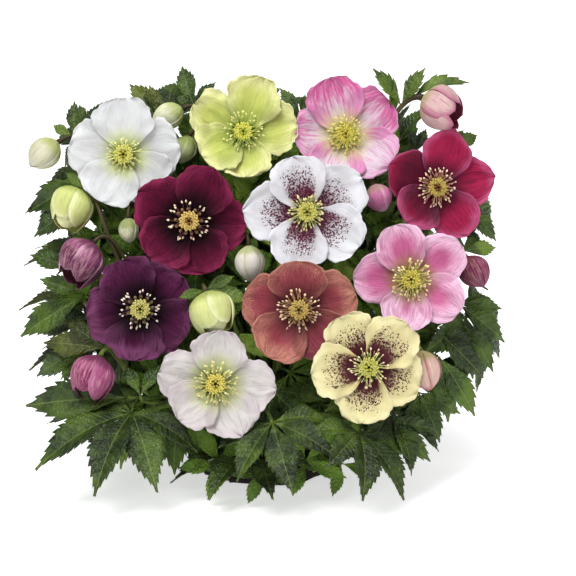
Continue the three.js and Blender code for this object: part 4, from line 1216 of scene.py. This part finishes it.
@dataclass
class Foliage:
    """The fingered, saw-edged leaves on their stalks."""

    rise: float = 0.2  # how steeply a leaflet starts upwards
    droop: float = 0.42  # how much it then arches down
    fold: float = 0.29  # how far its halves fold up from its midrib
    width: float = 0.205  # half its width, as a share of its length
    thick: float = 0.5
    teeth: int = 11
    teeth_from: float = 0.24  # the share of its length at which the saw teeth begin
    teeth_to: float = 0.985
    tooth: float = 0.15  # how deep the saw teeth cut, as a share of the width
    quilt: float = 0.055  # how far the blade swells between its veins, as a share of the width
    spread: dict[int, float] = field(default_factory=lambda: {1: 0.0, 5: 172.0, 7: 234.0})  # degrees, by leaflets
    columns: tuple[float, ...] = (-1, -0.75, -0.4, -0.08, 0, 0.08, 0.4, 0.75, 1)

    def build(self, skin: bpy.types.Material) -> None:
        """Builds every shoot.

        Args:
            skin: What the leaves are dressed in.
        """
        for number, shoot in enumerate(SHOOTS):
            body = Body()
            for k, leaf in enumerate(shoot.leaves):
                self._leaf(body, shoot.root, leaf, 300 + 10 * number + k)
            body.build(f"{shoot.name}_foliage", skin, "leaf", [shoot.name])

    def _leaf(self, body: Body, root: Pair, leaf: Leaf, seed: int) -> None:
        """Adds a leaf's stalk and blade.

        Args:
            body: What they are added to.
            root: Where the stalk leaves the soil.
            leaf: The leaf.
            seed: What sets the leaf's irregularities.
        """
        hub = Vector(leaf.hub)
        forward = outward(leaf.facing, leaf.slope)
        normal = Matrix.Rotation(math.radians(leaf.roll), 3, forward) @ outward(leaf.facing, leaf.slope + 90)
        back = Vector((root[0] - hub.x, root[1] - hub.y, 0)) * 0.3
        end = hub - normal * 1.8
        start = Vector((*root, STALK_FOOT))
        climb = start + Vector((*leaf.lean, max(14.0, 0.5 * hub.z)))
        path = bezier(start, climb, end + back - forward * 18, end, 26)
        tip = np.array(hub + forward * 0.1 * leaf.size)
        path = np.concatenate([path, (path[-1:] + tip) / 2, [tip]])
        radii = np.concatenate([np.linspace(2.3, 1.35, 26), [0.9, 0.4]])
        share = np.linspace(0, 1, 28)
        body.tube(path, radii, 10, tint=hue("66783a"), phase=1.0, aside=0.5, seed=float(seed), along=share)
        self.blade(body, hub, forward, normal, leaf.size, leaf.fingers, seed, leaf.tone)

    def blade(self, body: Body, hub: Vector, forward: Vector, normal: Vector, size: float, fingers: int,
              seed: int, tone: LeafTone, droop: float | None = None, lit: float = 1.0) -> None:
        """A fan of leaflets round a hub.

        Args:
            body: What the leaflets are added to.
            hub: Where the leaflets meet.
            forward: The way the middle leaflet points.
            normal: The way the leaf's face looks.
            size: The middle leaflet's length.
            fingers: How many leaflets there are.
            seed: What sets the leaf's own irregularities.
            tone: Its green.
            droop: How much it arches, or None for as much as most leaves do.
            lit: How much lighter or darker it is painted than its green, as painted light and shade.
        """
        side = normal.cross(forward)
        axes = np.array([forward, side, normal])
        droop = self.droop if droop is None else droop
        spread = self.spread[fingers]
        for i in range(fingers):
            off = 2 * i / (fingers - 1) - 1 if fingers > 1 else 0
            angle = off * math.radians(spread) / 2 + math.radians(6) * (draw(seed, i) - 0.5)
            length = size * (1 - 0.26 * off * off) * (0.94 + 0.12 * draw(seed, i + 20))
            drop = droop * (1 + abs(off) * (draw(seed, i + 40) - 0.5))
            flat, values, thickness = self._leaflet(angle, length, drop, seed * 10 + i)
            colour = np.array(hue(tone.value)) * lit * (0.88 + 0.5 * draw(seed, i + 60))
            grid = flat @ axes + np.array(hub)
            grid[..., 2] = (grid[..., 2] + np.sqrt(grid[..., 2] ** 2 + 25)) / 2  # eased off just over the floor
            body.shell(grid, thickness, tint=colour, **values)

    def _leaflet(self, angle: float, length: float, drop: float, seed: int) -> tuple[np.ndarray, dict, np.ndarray]:
        """Shapes one leaflet in the leaf's own axes.

        Args:
            angle: The way it points, away from the middle leaflet's.
            length: Its length.
            drop: How much it arches down.
            seed: What sets its irregularities.

        Returns:
            Its grid of points, its named values and its thickness.
        """
        # Three rows to each saw tooth: its notch, its shoulder and its tip, which hooks forward.
        step = (self.teeth_to - self.teeth_from) / self.teeth
        edge, cut, phase, hook = [0.02, 0.08, 0.16], [1.0, 1.0, 1.0], [1.0, 1.0, 1.0], [0.0, 0.0, 0.0]
        for i in range(self.teeth):
            s = self.teeth_from + i * step
            deep = self.tooth * min(1.0, 0.4 + i * 0.3)
            edge += [s, s + 0.48 * step, s + 0.9 * step]
            cut += [1 - deep, 1 - 0.3 * deep, 1.03]
            phase += [0.45, 1.0, 0.0]
            hook += [0.0, 0.0, 0.4 * step]
        edge.append(1.0)
        cut.append(1.0)
        phase.append(0.6)
        hook.append(0.0)
        # The outline: narrow at both ends, cut into teeth at the sides alone.
        s = np.array(edge)[:, None]
        t = np.array(self.columns)[None, :]
        smooth = np.maximum(np.sin(np.pi * np.clip(s, 0, 1) ** 1.17) ** 1.4, 0.06)
        smooth[-1] = 0.03
        half = self.width * length
        outer = np.abs(t) ** 3
        wide = half * smooth * (1 - outer * (1 - np.array(cut)[:, None]))
        shift = 0.75 * self.width * smooth * (1 - np.abs(t))
        share = np.clip(s - shift + np.array(hook)[:, None] * (np.abs(t) >= 1), 0.0, 1.0)
        # The blade's relief: it arches, folds up along its midrib, swells between veins and waves at its sides.
        e = t * wide
        along = share * length
        arch = length * (self.rise * share - drop * share ** 2)
        fold = self.fold * (0.5 + 1.8 * draw(seed, 7)) * (np.sqrt(e ** 2 + 0.8) - 0.89)
        quilt = self.quilt * half * np.array(phase)[:, None] * np.sin(np.pi * np.abs(t)) * smooth ** 0.5
        wave = 0.05 * half * np.abs(t) ** 2 * np.sin(17 * s * (1.1 + 0.2 * draw(seed, 3)) + seed + (t > 0) * 2.0)
        e = e + 0.05 * length * (draw(seed, 5) - 0.5) * share ** 2
        grid = np.stack([along * math.cos(angle) - e * math.sin(angle),
                         along * math.sin(angle) + e * math.cos(angle),
                         arch + fold + quilt + wave], axis=2)
        thickness = self.thick * (1 - 0.4 * np.abs(t))
        values = {"along": share, "aside": t * smooth, "phase": np.array(phase)[:, None], "seed": float(seed % 97)}
        return grid, values, thickness


@dataclass(frozen=True)
class Row:
    """A row of inner leaves: how high and how far forward it lies, how wide it runs, and how many it has."""

    height: float
    depth: float  # how far back a row in front lies, or how far out one round the back does
    left: float  # where it begins, in millimetres or round the back in degrees
    right: float
    count: int


@dataclass(frozen=True)
class Sprig:
    """Leaflets listed one by one, at the edge of the clump or in a gap between its leaves."""

    hub: Triple
    leaflets: tuple[Pair, ...]  # the way that each points, in degrees from the right upwards, and its length
    tone: LeafTone = LeafTone.MID


SPRIGS = (
    Sprig((-139, 4, 250), ((104, 29), (51, 20)), LeafTone.DARK),
    Sprig((-141, 0, 252), ((149, 21),), LeafTone.YOUNG),
    Sprig((-130, 0, 227), ((197, 36), (168, 22)), LeafTone.DARK),
    Sprig((-127, -4, 221), ((208, 56),)),
    Sprig((-133, -6, 205), ((217, 45), (252, 32))),
    Sprig((-129, -22, 217), ((139, 23),), LeafTone.YOUNG),
    Sprig((-139, -30, 160), ((163, 36),)),
    Sprig((-131, -34, 141), ((164, 38), (212, 55), (43, 18))),
    Sprig((-128, -30, 123), ((194, 48), (176, 24)), LeafTone.DARK),
    Sprig((-115, -62, 108), ((147, 38), (175, 50)), LeafTone.OLIVE),
    Sprig((-130, -50, 106), ((207, 49), (233, 30))),
    Sprig((-98, -80, 77), ((183, 74),), LeafTone.DARK),
    Sprig((-88, -97, 84), ((62, 30), (118, 26))),
    Sprig((-77, 14, 265), ((133, 38), (112, 28)), LeafTone.OLIVE),
    Sprig((-77, 12, 264), ((146, 31),), LeafTone.DARK),
    Sprig((-52, 22, 270), ((112, 41), (63, 26))),
    Sprig((-53, 20, 267), ((132, 29), (155, 27)), LeafTone.DARK),
    Sprig((27, 24, 263), ((126, 29), (153, 22), (77, 18))),
    Sprig((112, 20, 236), ((61, 23), (96, 19)), LeafTone.DARK),
    Sprig((138, 6, 243), ((25, 27), (46, 20))),
    Sprig((147, 2, 201), ((-43, 38), (-70, 24))),
    Sprig((145, -18, 170), ((4, 32), (34, 20)), LeafTone.YOUNG),
    Sprig((144, -16, 129), ((16, 27), (-4, 33), (-40, 44))),
    Sprig((143, -24, 122), ((-59, 50), (-78, 46))),
    Sprig((127, -44, 116), ((-46, 46), (-12, 26)), LeafTone.DARK),
    Sprig((127, -52, 100), ((-63, 50), (-86, 46))),
    Sprig((112, -64, 76), ((-112, 36), (-66, 42), (-30, 36))),
    Sprig((87, -82, 60), ((-80, 38), (-42, 42), (-8, 36))),
    Sprig((-42, -79, 157), ((198, 20), (26, 24), (-9, 34)), LeafTone.YOUNG),
)
FAN = ((-20, 30), (50, 32), (115, 34), (180, 30), (250, 26))  # leaflets all round a hub
FAN_HUBS = (
    (-107, 8, 207), (-50, 20, 238), (57, -8, 165), (71, 8, 193), (6, 14, 226), (10, 0, 162), (39, 2, 158),
    (-6, 2, 180), (-77, -54, 82), (-60, -62, 58), (90, -72, 60), (-120, -14, 182), (-94, -10, 172),
    (-99, -24, 112), (108, -32, 94), (106, -52, 84), (30, -90, 32), (-2, -96, 28), (56, -84, 28),
    (-32, -92, 30), (80, -24, 117), (-14, -24, 147),
)
GAP_SPRIGS = (
    *(Sprig(hub, FAN, LeafTone.GAP_LIT) for hub in FAN_HUBS),
    Sprig((-124, -22, 112), ((115, 30), (150, 26)), LeafTone.DARK),
    Sprig((120, -36, 84), ((10, 34), (-25, 32))),
    Sprig((104, -50, 68), ((-20, 30), (-50, 30)), LeafTone.DARK),
    Sprig((-100, -30, 102), ((-90, 32),), LeafTone.DARK),
    Sprig((146, -6, 186), ((-50, 24),), LeafTone.DARK),
)


@dataclass
class Thicket:
    """The inner leaves, which fill the clump behind its blooms, round its edge and round its back."""

    foliage: Foliage  # the leaflets listed one by one
    inner: Foliage  # the plainer leaves that stand behind
    size: float = 50.0
    foot_reach: float = 44.0  # how far from the middle a stalk may leave the soil
    lit: float = 2.2  # how much brighter an inner leaf half way up is painted than its green: painted light in the shade of the clump
    behind: float = 0.6  # the share of that which a leaf has that looks towards the back: painted shade
    front: tuple[Row, ...] = (Row(200, 18, -120, 124, 6), Row(172, 2, -118, 120, 7), Row(142, -16, -118, 116, 7),
                              Row(112, -32, -112, 108, 6), Row(82, -42, -104, 100, 6), Row(56, -42, -80, 78, 5),
                              Row(70, -60, -96, 84, 6))
    middle: tuple[Row, ...] = (Row(224, 34, -112, 112, 5), Row(198, 46, -104, 104, 7), Row(154, 40, -80, 92, 6))
    back: tuple[Row, ...] = (Row(190, 58, -10, 190, 5), Row(150, 74, -15, 195, 5), Row(104, 82, -20, 200, 6))
    tones: tuple[LeafTone, ...] = (LeafTone.MID, LeafTone.DARK, LeafTone.MID, LeafTone.YOUNG, LeafTone.MID)

    def build(self, skin: bpy.types.Material, shaded: bpy.types.Material) -> None:
        """Builds the rows from the front to the back, each kind as one piece, and the leaves listed one by one.

        Args:
            skin: What the outer leaves are dressed in.
            shaded: What those inside the clump are dressed in.
        """
        self._rows("inner_leaves_front", self.front, 600, shaded)
        self._rows("inner_leaves_middle", self.middle, 700, shaded)
        self._sprigs("edge_leaves", SPRIGS, 900, skin)
        self._sprigs("gap_leaves", GAP_SPRIGS, 960, shaded)
        self._back_rows(800, skin)

    def _back_rows(self, seed: int, skin: bpy.types.Material) -> None:
        """Builds level rows of leaves that look outwards round the back, as one piece.

        Args:
            seed: What sets their irregularities.
            skin: What they are dressed in.
        """
        body = Body()
        for row in self.back:
            for i in range(row.count):
                seed += 1
                turn = row.left + (row.right - row.left) * (i + 0.5 + 0.4 * (draw(seed, 1) - 0.5)) / row.count
                out = row.depth + 12 * (draw(seed, 2) - 0.5)
                place = outward(turn, 0) * out
                hub = Vector((place.x * 1.15, max(place.y, 8), row.height + 20 * (draw(seed, 3) - 0.5)))
                looks = outward(turn + 30 * (draw(seed, 4) - 0.5), 30 + 26 * draw(seed, 5))
                self._leaf(body, hub, looks, -90 + 100 * (draw(seed, 6) - 0.5), seed)
        body.build("inner_leaves_back", skin, "leaf", [])

    def _sprigs(self, name: str, sprigs: tuple[Sprig, ...], seed: int, skin: bpy.types.Material) -> None:
        """Builds leaflets listed one by one, as one piece.

        Args:
            name: The piece's name.
            sprigs: The leaflets.
            seed: What sets their irregularities.
            skin: What they are dressed in.
        """
        body = Body()
        for number, sprig in enumerate(sprigs):
            looks = outward(270 + 0.1 * sprig.hub[0] + 20 * (draw(seed + number, 4) - 0.5), 26)
            self._leaf(body, Vector(sprig.hub), looks, sprig.leaflets[0][0], seed + number, sprig)
        body.build(name, skin, "leaf", [])

    def _rows(self, name: str, rows: tuple[Row, ...], seed: int, skin: bpy.types.Material) -> None:
        """Builds level rows of leaves that look towards the front, as one piece.

        Args:
            name: The piece's name.
            rows: The rows.
            seed: What sets their irregularities.
            skin: What they are dressed in.
        """
        body = Body()
        for row in rows:
            for i in range(row.count):
                seed += 1
                share = (i + 0.5 + 0.5 * (draw(seed, 1) - 0.5)) / row.count
                x = row.left + (row.right - row.left) * share
                y = row.depth + 16 * (draw(seed, 2) - 0.5)
                z = row.height + 18 * (draw(seed, 3) - 0.5)
                looks = outward(270 + 0.3 * x + 36 * (draw(seed, 4) - 0.5), 16 + 34 * draw(seed, 5))
                away = math.degrees(math.atan2(z - 120, x * 1.3)) + 110 * (draw(seed, 6) - 0.5)
                self._leaf(body, Vector((x, y, z)), looks, away, seed)
        body.build(name, skin, "leaf", [])

    def _leaf(self, body: Body, hub: Vector, looks: Vector, around: float, seed: int,
              sprig: Sprig | None = None) -> None:
        """Adds one leaf and its stalk.

        Args:
            body: What they are added to.
            hub: Where its leaflets meet.
            looks: The way its face looks.
            around: The way its middle leaflet points on its face, in degrees from level towards upwards.
            seed: What sets its irregularities.
            sprig: Its leaflets and green, or None for those of an inner leaf.
        """
        level = Vector((0, 0, 1)).cross(looks).normalized()
        upward = looks.cross(level)
        turn = math.radians(around)
        forward = level * math.cos(turn) + upward * math.sin(turn)
        root = Vector((hub.x, hub.y, 0)) * 0.3
        if root.length > self.foot_reach:
            root = root.normalized() * self.foot_reach
        start = Vector((root.x, root.y, STALK_FOOT))
        climb = start + Vector((0, 0, max(14.0, 0.55 * hub.z)))
        path = bezier(start, climb, hub - looks * 16 - forward * 14, hub - looks * 1.5, 18)
        body.tube(path, np.linspace(2.0, 1.1, 18), 7, tint=hue("5f7236"), phase=1.0, aside=0.5, seed=float(seed))
        droop = 0.3 + 0.3 * draw(seed, 8)
        if sprig:
            for i, (angle, size) in enumerate(sprig.leaflets):
                turn = math.radians(angle)
                forward = level * math.cos(turn) + upward * math.sin(turn)
                self.foliage.blade(body, hub, forward, looks, size, 1, seed + 40 * i, sprig.tone, droop)
        else:
            size = self.size * (0.85 + 0.3 * draw(seed, 7))
            tone = self.tones[seed % len(self.tones)]
            # Painted light and shade: inner leaves are painted lighter the higher they stand, and darker where they
            # look towards the back.
            lit = self.lit * (0.1 + hub.z / 170) * (self.behind if looks.y > 0 else 1.0)
            self.inner.blade(body, hub, forward, looks, size, 5, seed, tone, droop, lit)


# ---- Stems -----------------------------------------------------------------------------------------------


@dataclass(frozen=True)
class Bract:
    """A small leaf on a stem: where it sits, the way it points and how it lies."""

    joint: float  # how far up the stem it sits, in sevenths
    around: float  # the direction that it points in, in degrees round the clump
    slope: float  # degrees that it rises
    size: float = 32.0
    droop: float = 0.34
    level: float = 0.4  # how much its face keeps to its own slope, rather than looking to the front


@dataclass(frozen=True)
class Stem:
    """One flower stem: where it leaves the soil, what it ends in, its side stalks and its bracts."""

    name: str
    root: Pair
    to: str  # the bloom or bud at its end
    lean: Pair  # how far it leans aside as it leaves the soil
    twigs: tuple[tuple[str, int], ...]  # each side stalk's bud, and the seventh of the stem that it leaves from
    bracts: tuple[Bract, ...]


STEMS = (
    Stem("stem_white", (-22, 4), "white", (-10, 6), (("bud_ivory", 5),), (Bract(5, 60, 50),)),
    Stem("stem_lime", (-6, 16), "lime", (-4, 8), (("bud_cream", 5), ("bud_green", 4)), (Bract(5, 130, 34),)),
    Stem("stem_streaked", (14, 18), "streaked", (2, 8), (("bud_rosy", 4),), (Bract(5, 15, 34),)),
    Stem("stem_red", (27, 6), "bud_pink_bell", (20, 6), (("red", 5),),
         (Bract(6.5, 178, 54, 36, 0.2), Bract(6.5, 8, 60, 35, 0.2), Bract(6.7, 2, 27, 46, 0.5, 1.2),
          Bract(6.3, 176, 80, 24, 0.1))),
    Stem("stem_burgundy", (-11, -6), "burgundy", (-2, 10), (("bud_pale", 4),), (Bract(5, 20, 34),)),
    Stem("stem_spotted", (5, 2), "spotted", (2, 12), (), (Bract(5, 170, 34),)),
    Stem("stem_pink", (23, -12), "pink", (10, 10), (("bud_wine", 5),), (Bract(5, 60, 34),)),
    Stem("stem_purple", (-26, -16), "purple", (-8, 4), (("bud_plum_bell", 5),), (Bract(5, 170, 34),)),
    Stem("stem_rose", (5, -18), "rose", (2, 4), (), (Bract(5, 20, 34),)),
    Stem("stem_cream", (19, -32), "cream", (6, 8), (("bud_peach", 4),), (Bract(4, 10, 34),)),
    Stem("stem_blush", (-15, -32), "blush", (-2, 6), (("bud_green_bell", 3), ("bud_magenta_bell", 2)),
         (Bract(3, 150, 34),)),
    Stem("stem_bell", (-36, -4), "bud_lime_bell", (-6, 12), (("bud_small", 4),), (Bract(5, 215, 20),)),
)


@dataclass
class Stems:
    """The flower stems with their side stalks and bracts."""

    foot: float = 2.6  # a stem's radius where it leaves the soil
    neck: float = 1.7  # and at its end
    twig_foot: float = 1.5
    twig_neck: float = 1.3
    seventh: int = 8  # how many points of its path make a seventh of a stem
    loose: tuple[tuple[Triple, Triple, Triple, Triple], ...] = (  # leaf stalks, as the handles of their curves
        ((-38, -40, 28), (-72, -64, 58), (-114, -64, 98), (-131, -40, 139)),
        ((-36, -22, 28), (-76, -62, 100), (-114, -44, 180), (-127, -16, 222)),
        ((40, -30, 28), (76, -64, 58), (124, -50, 104), (143, -22, 122)))
    bract_foliage: Foliage = field(default_factory=lambda: Foliage(width=0.22, teeth=5, tooth=0.22, thick=0.4))

    def build(self, leaf_skin: bpy.types.Material) -> None:
        """Builds every stem, and the loose leaf stalks as one piece.

        Args:
            leaf_skin: What the bracts are dressed in.
        """
        skin = StemFinish().material()
        for number, stem in enumerate(STEMS):
            self._stem(stem, 100 + 10 * number, skin, leaf_skin)
        body = Body()
        for i, handles in enumerate(self.loose):
            self._tube(body, bezier(*(Vector(h) for h in handles), 40), 2.1, 1.4, 60 + i)
        body.build("leaf_stalks", skin, "stem", [])

    def _seat(self, name: str) -> tuple[Vector, Vector]:
        """Finds where a stem meets what it carries.

        Args:
            name: The bloom or bud that it carries.

        Returns:
            Where the stem ends, and how far from there the handle of its curve lies.
        """
        for bloom in BLOOMS:
            if bloom.name == name:
                place, low, hook = place_for(bloom.at, bloom.yaw, bloom.pitch), -4.0, 32.0
        for bud in BUDS:
            if bud.name == name:
                place, low, hook = place_for(bud.at, bud.yaw, bud.pitch), 0.0, 30.0
        way = Vector(place[:3, 2])
        return Vector(place[:3, 3]) + way * (low + 0.4), way * -hook

    def _stem(self, stem: Stem, seed: int, skin: bpy.types.Material, leaf_skin: bpy.types.Material) -> None:
        """Builds one stem with its side stalks, and its bracts as a piece of their own.

        Args:
            stem: The stem.
            seed: What sets its irregularities.
            skin: What the stem is dressed in.
            leaf_skin: What its bracts are dressed in.
        """
        body = Body()
        end, hook = self._seat(stem.to)
        start = Vector((*stem.root, STALK_FOOT))
        climb = start + Vector((*stem.lean, 0.5 * end.z))
        path = bezier(start, climb, end + hook, end, 7 * self.seventh + 1)
        self._tube(body, path, self.foot, self.neck, seed)
        for name, joint in stem.twigs:
            node = joint * self.seventh
            fork = Vector(path[node])
            way = Vector(path[node + 1] - path[node - 1]).normalized()
            tip, twig_hook = self._seat(name)
            handle = fork + way * 0.45 * (tip - fork).length
            twig = bezier(fork, handle, tip + twig_hook, tip, 30)
            self._tube(body, twig, self.twig_foot, self.twig_neck, seed + joint)
        body.build(f"{stem.name}_stalks", skin, "stem", [stem.name])
        bracts = Body()
        for i, bract in enumerate(stem.bracts):
            forward = outward(bract.around, bract.slope)
            normal = outward(bract.around, bract.slope + 90) * bract.level + Vector((0, -0.6, 0.4))
            normal = (normal - forward * normal.dot(forward)).normalized()
            hub = Vector(path[round(bract.joint * self.seventh)])
            self.bract_foliage.blade(bracts, hub, forward, normal, bract.size, 1, seed + i, LeafTone.YOUNG,
                                     bract.droop)
        bracts.build(f"{stem.name}_bracts", leaf_skin, "leaf", [])

    def _tube(self, body: Body, path: np.ndarray, foot: float, neck: float, seed: int) -> None:
        """Adds a tapered stalk, swollen a little where it ends.

        Args:
            body: What it is added to.
            path: The points of its middle line.
            foot: Its radius at the start.
            neck: Its radius at the end.
            seed: What sets its irregularities.
        """
        share = np.linspace(0, 1, len(path))
        radii = foot + (neck - foot) * share + 0.9 * ease(share, 0.94, 1.0)
        radii = radii * (1 + 0.05 * np.sin(17 * share + seed))
        high = ease(path[:, 2], 60, 210) * 0.75 + 0.25 * share
        body.tube(path, radii, 12, along=share, blush=high, seed=float(seed), turn=share * 3)


# ---- Soil ------------------------------------------------------------------------------------------------


@dataclass
class RootBall:
    """The low root ball of peat, with crumbs and perlite."""

    rings: tuple[Pair, ...] = ((1, 0.2), (30, 0.2), (52, 0.3), (56, 2), (60, 8), (60, 15), (58, 21), (53, 26),
                               (46, 28.5), (32, 29.5), (14, 30), (1, 30))  # its outline, as radius and height
    rows: int = 60
    sides: int = 90
    crumbs: int = 250
    flecks: int = 90

    def build(self) -> None:
        """Builds the root ball, its crumbs and its perlite."""
        body = Body()
        spots = np.array(self.rings)
        gone = np.concatenate([[0], np.cumsum(np.linalg.norm(np.diff(spots, axis=0), axis=1))])
        where = np.linspace(0, gone[-1], self.rows)
        away, height = np.interp(where, gone, spots[:, 0]), np.interp(where, gone, spots[:, 1])
        path = np.stack([0 * away, 0 * away, np.linspace(0, 1, len(away))], axis=1)
        body.tube(path, away, self.sides)
        points = body.points[0]
        points[:, 2] = np.concatenate([np.repeat(height, self.sides), height[:1], height[-1:]])
        for p in points:
            spot = Vector(p)
            rough = noise.fractal(spot * 0.09, 0.8, 2.0, 4) * 2.6 + noise.noise(spot * 0.6) * 0.7
            out = Vector((p[0], p[1], (p[2] - 12) * 1.4)).normalized() * rough
            if p[2] > 1:
                p += np.array(out)
            p[2] = max(p[2], 0.0)
        for i in range(self.crumbs):
            a, r = 2 * math.pi * draw(801, i), 16 + 44 * math.sqrt(draw(802, i))
            z = float(np.interp(r, [16, 46, 53, 59, 61], [30, 28, 26, 14 * draw(804, i) + 6, 12 * draw(804, i)]))
            self._lump(body, (r * math.cos(a), r * math.sin(a), z), 0.8 + 1.6 * draw(803, i), i)
        body.build("peat_ball", SoilFinish().material(), "soil", ["root_ball"])
        perlite = Body()
        for i in range(self.flecks):
            a, r = 2 * math.pi * draw(811, i), 12 + 48 * math.sqrt(draw(812, i))
            z = float(np.interp(r, [12, 46, 53, 59, 61], [30.5, 28.5, 26.5, 15 * draw(814, i) + 6, 14]))
            self._lump(perlite, (r * math.cos(a), r * math.sin(a), z), 0.6 + 0.9 * draw(813, i), 900 + i)
        perlite.build("perlite_crumbs", PerliteFinish().material(), "soil", [])

    def _lump(self, body: Body, at: Triple, size: float, seed: int) -> None:
        """Adds one irregular crumb.

        Args:
            body: What it is added to.
            at: Its middle.
            size: Its radius.
            seed: What sets its shape.
        """
        share = np.linspace(0.12, math.pi - 0.12, 6)
        path = np.stack([0 * share, 0 * share, -np.cos(share) * size], axis=1) + np.array(at)
        body.tube(path, np.sin(share) * size, 7)
        points = body.points[-1]
        for j, p in enumerate(points):
            p += (p - np.array(at)) * (0.7 * (draw(seed, j) - 0.5))
            p[2] = max(p[2], 0.1)


# ---- Studio ----------------------------------------------------------------------------------------------


@dataclass
class Studio:
    """A plain pale floor, soft light and the camera."""

    target: Triple = (17.25, 0.0, 137.4)  # what the camera and the lamps look at
    distance: float = 1620.0
    elevation: float = 15.0  # degrees that the camera looks down
    lens: float = 135.0
    glow: float = 0.59  # how bright the floor is of itself
    sky: float = 0.24
    daylight: float = 1.75
    softness: float = 40.0  # degrees across the daylight
    lamps: tuple[tuple[str, Triple, float, float], ...] = (  # each one's place in metres, width and power
        ("key", (-0.6, -1.15, 1.85), 0.9, 27.0), ("fill", (1.4, -0.9, 1.0), 1.2, 8.0),
        ("top", (0.1, 0.0, 2.0), 1.0, 10.0))

    def build(self) -> None:
        """Builds the floor, the lights and the camera."""
        self._floor()
        self._lights()
        self._camera()

    def _floor(self) -> None:
        """Builds the plain pale floor."""
        g = Graph("studio_floor")
        mesh = bpy.data.meshes.new("floor")
        mesh.from_pydata([(-6, -6, 0), (6, -6, 0), (6, 8, 0), (-6, 8, 0)], [], [(0, 1, 2, 3)])
        floor = bpy.data.objects.new("floor", mesh)
        bpy.context.collection.objects.link(floor)
        mesh.materials.append(g.finish((0.85, 0.85, 0.85), 0.9, Specular_IOR_Level=0.0,
                                       Emission_Color=(1.0, 1.0, 1.0, 1.0), Emission_Strength=self.glow))
        floor.location.z = -0.0002

    def _lights(self) -> None:
        """Sets the sky, the lamps and the soft daylight from above."""
        world = bpy.data.worlds.new("studio")
        world.use_nodes = True
        sky = world.node_tree.nodes["Background"]
        sky.inputs["Color"].default_value = (0.97, 0.985, 1.0, 1.0)
        sky.inputs["Strength"].default_value = self.sky
        bpy.context.scene.world = world
        for name, at, size, power in self.lamps:
            self._lamp(name, at, size, power)
        daylight = bpy.data.lights.new("daylight", "SUN")
        daylight.energy = self.daylight
        daylight.angle = math.radians(self.softness)
        sun = bpy.data.objects.new("daylight", daylight)
        sun.rotation_euler = (math.radians(18), math.radians(-10), 0)
        bpy.context.collection.objects.link(sun)

    def _camera(self) -> None:
        """Sets the camera in front of the clump, looking a little down."""
        lens = bpy.data.cameras.new("camera")
        lens.lens = self.lens
        lens.sensor_width = 36.0
        camera = bpy.data.objects.new("camera", lens)
        bpy.context.collection.objects.link(camera)
        tilt = math.radians(self.elevation)
        aim = Vector(self.target) * MM
        camera.location = aim + Vector((0, -math.cos(tilt), math.sin(tilt))) * self.distance * MM
        camera.rotation_euler = (math.pi / 2 - tilt, 0, 0)
        bpy.context.scene.camera = camera
        bpy.context.scene.view_settings.view_transform = "Standard"

    def _lamp(self, name: str, at: Triple, size: float, power: float) -> None:
        """Sets a soft square lamp that looks at the clump.

        Args:
            name: The lamp's name.
            at: Its place, in metres.
            size: Its width, in metres.
            power: Its power, in watts.
        """
        light = bpy.data.lights.new(name, "AREA")
        light.size = size
        light.energy = power
        lamp = bpy.data.objects.new(name, light)
        lamp.location = at
        lamp.rotation_euler = (Vector(self.target) * MM - Vector(at)).to_track_quat("-Z", "Y").to_euler()
        bpy.context.collection.objects.link(lamp)


def main() -> None:
    """Builds the clump and the studio round it."""
    Studio().build()
    RootBall().build()
    leaf_skin = LeafFinish().material()
    leaf_shaded = LeafFinish("leaf_shaded", 0.16).material()
    Foliage().build(leaf_skin)
    placed = Foliage(width=0.195, teeth=7, columns=(-1, -0.7, -0.25, 0, 0.25, 0.7, 1))
    inner = Foliage(width=0.195, teeth=7, columns=(-1, -0.5, 0, 0.5, 1))
    Thicket(placed, inner).build(leaf_skin, leaf_shaded)
    Stems().build(leaf_skin)
    Blooms().build()
    Buds().build()


if __name__ == "__main__":
    main()
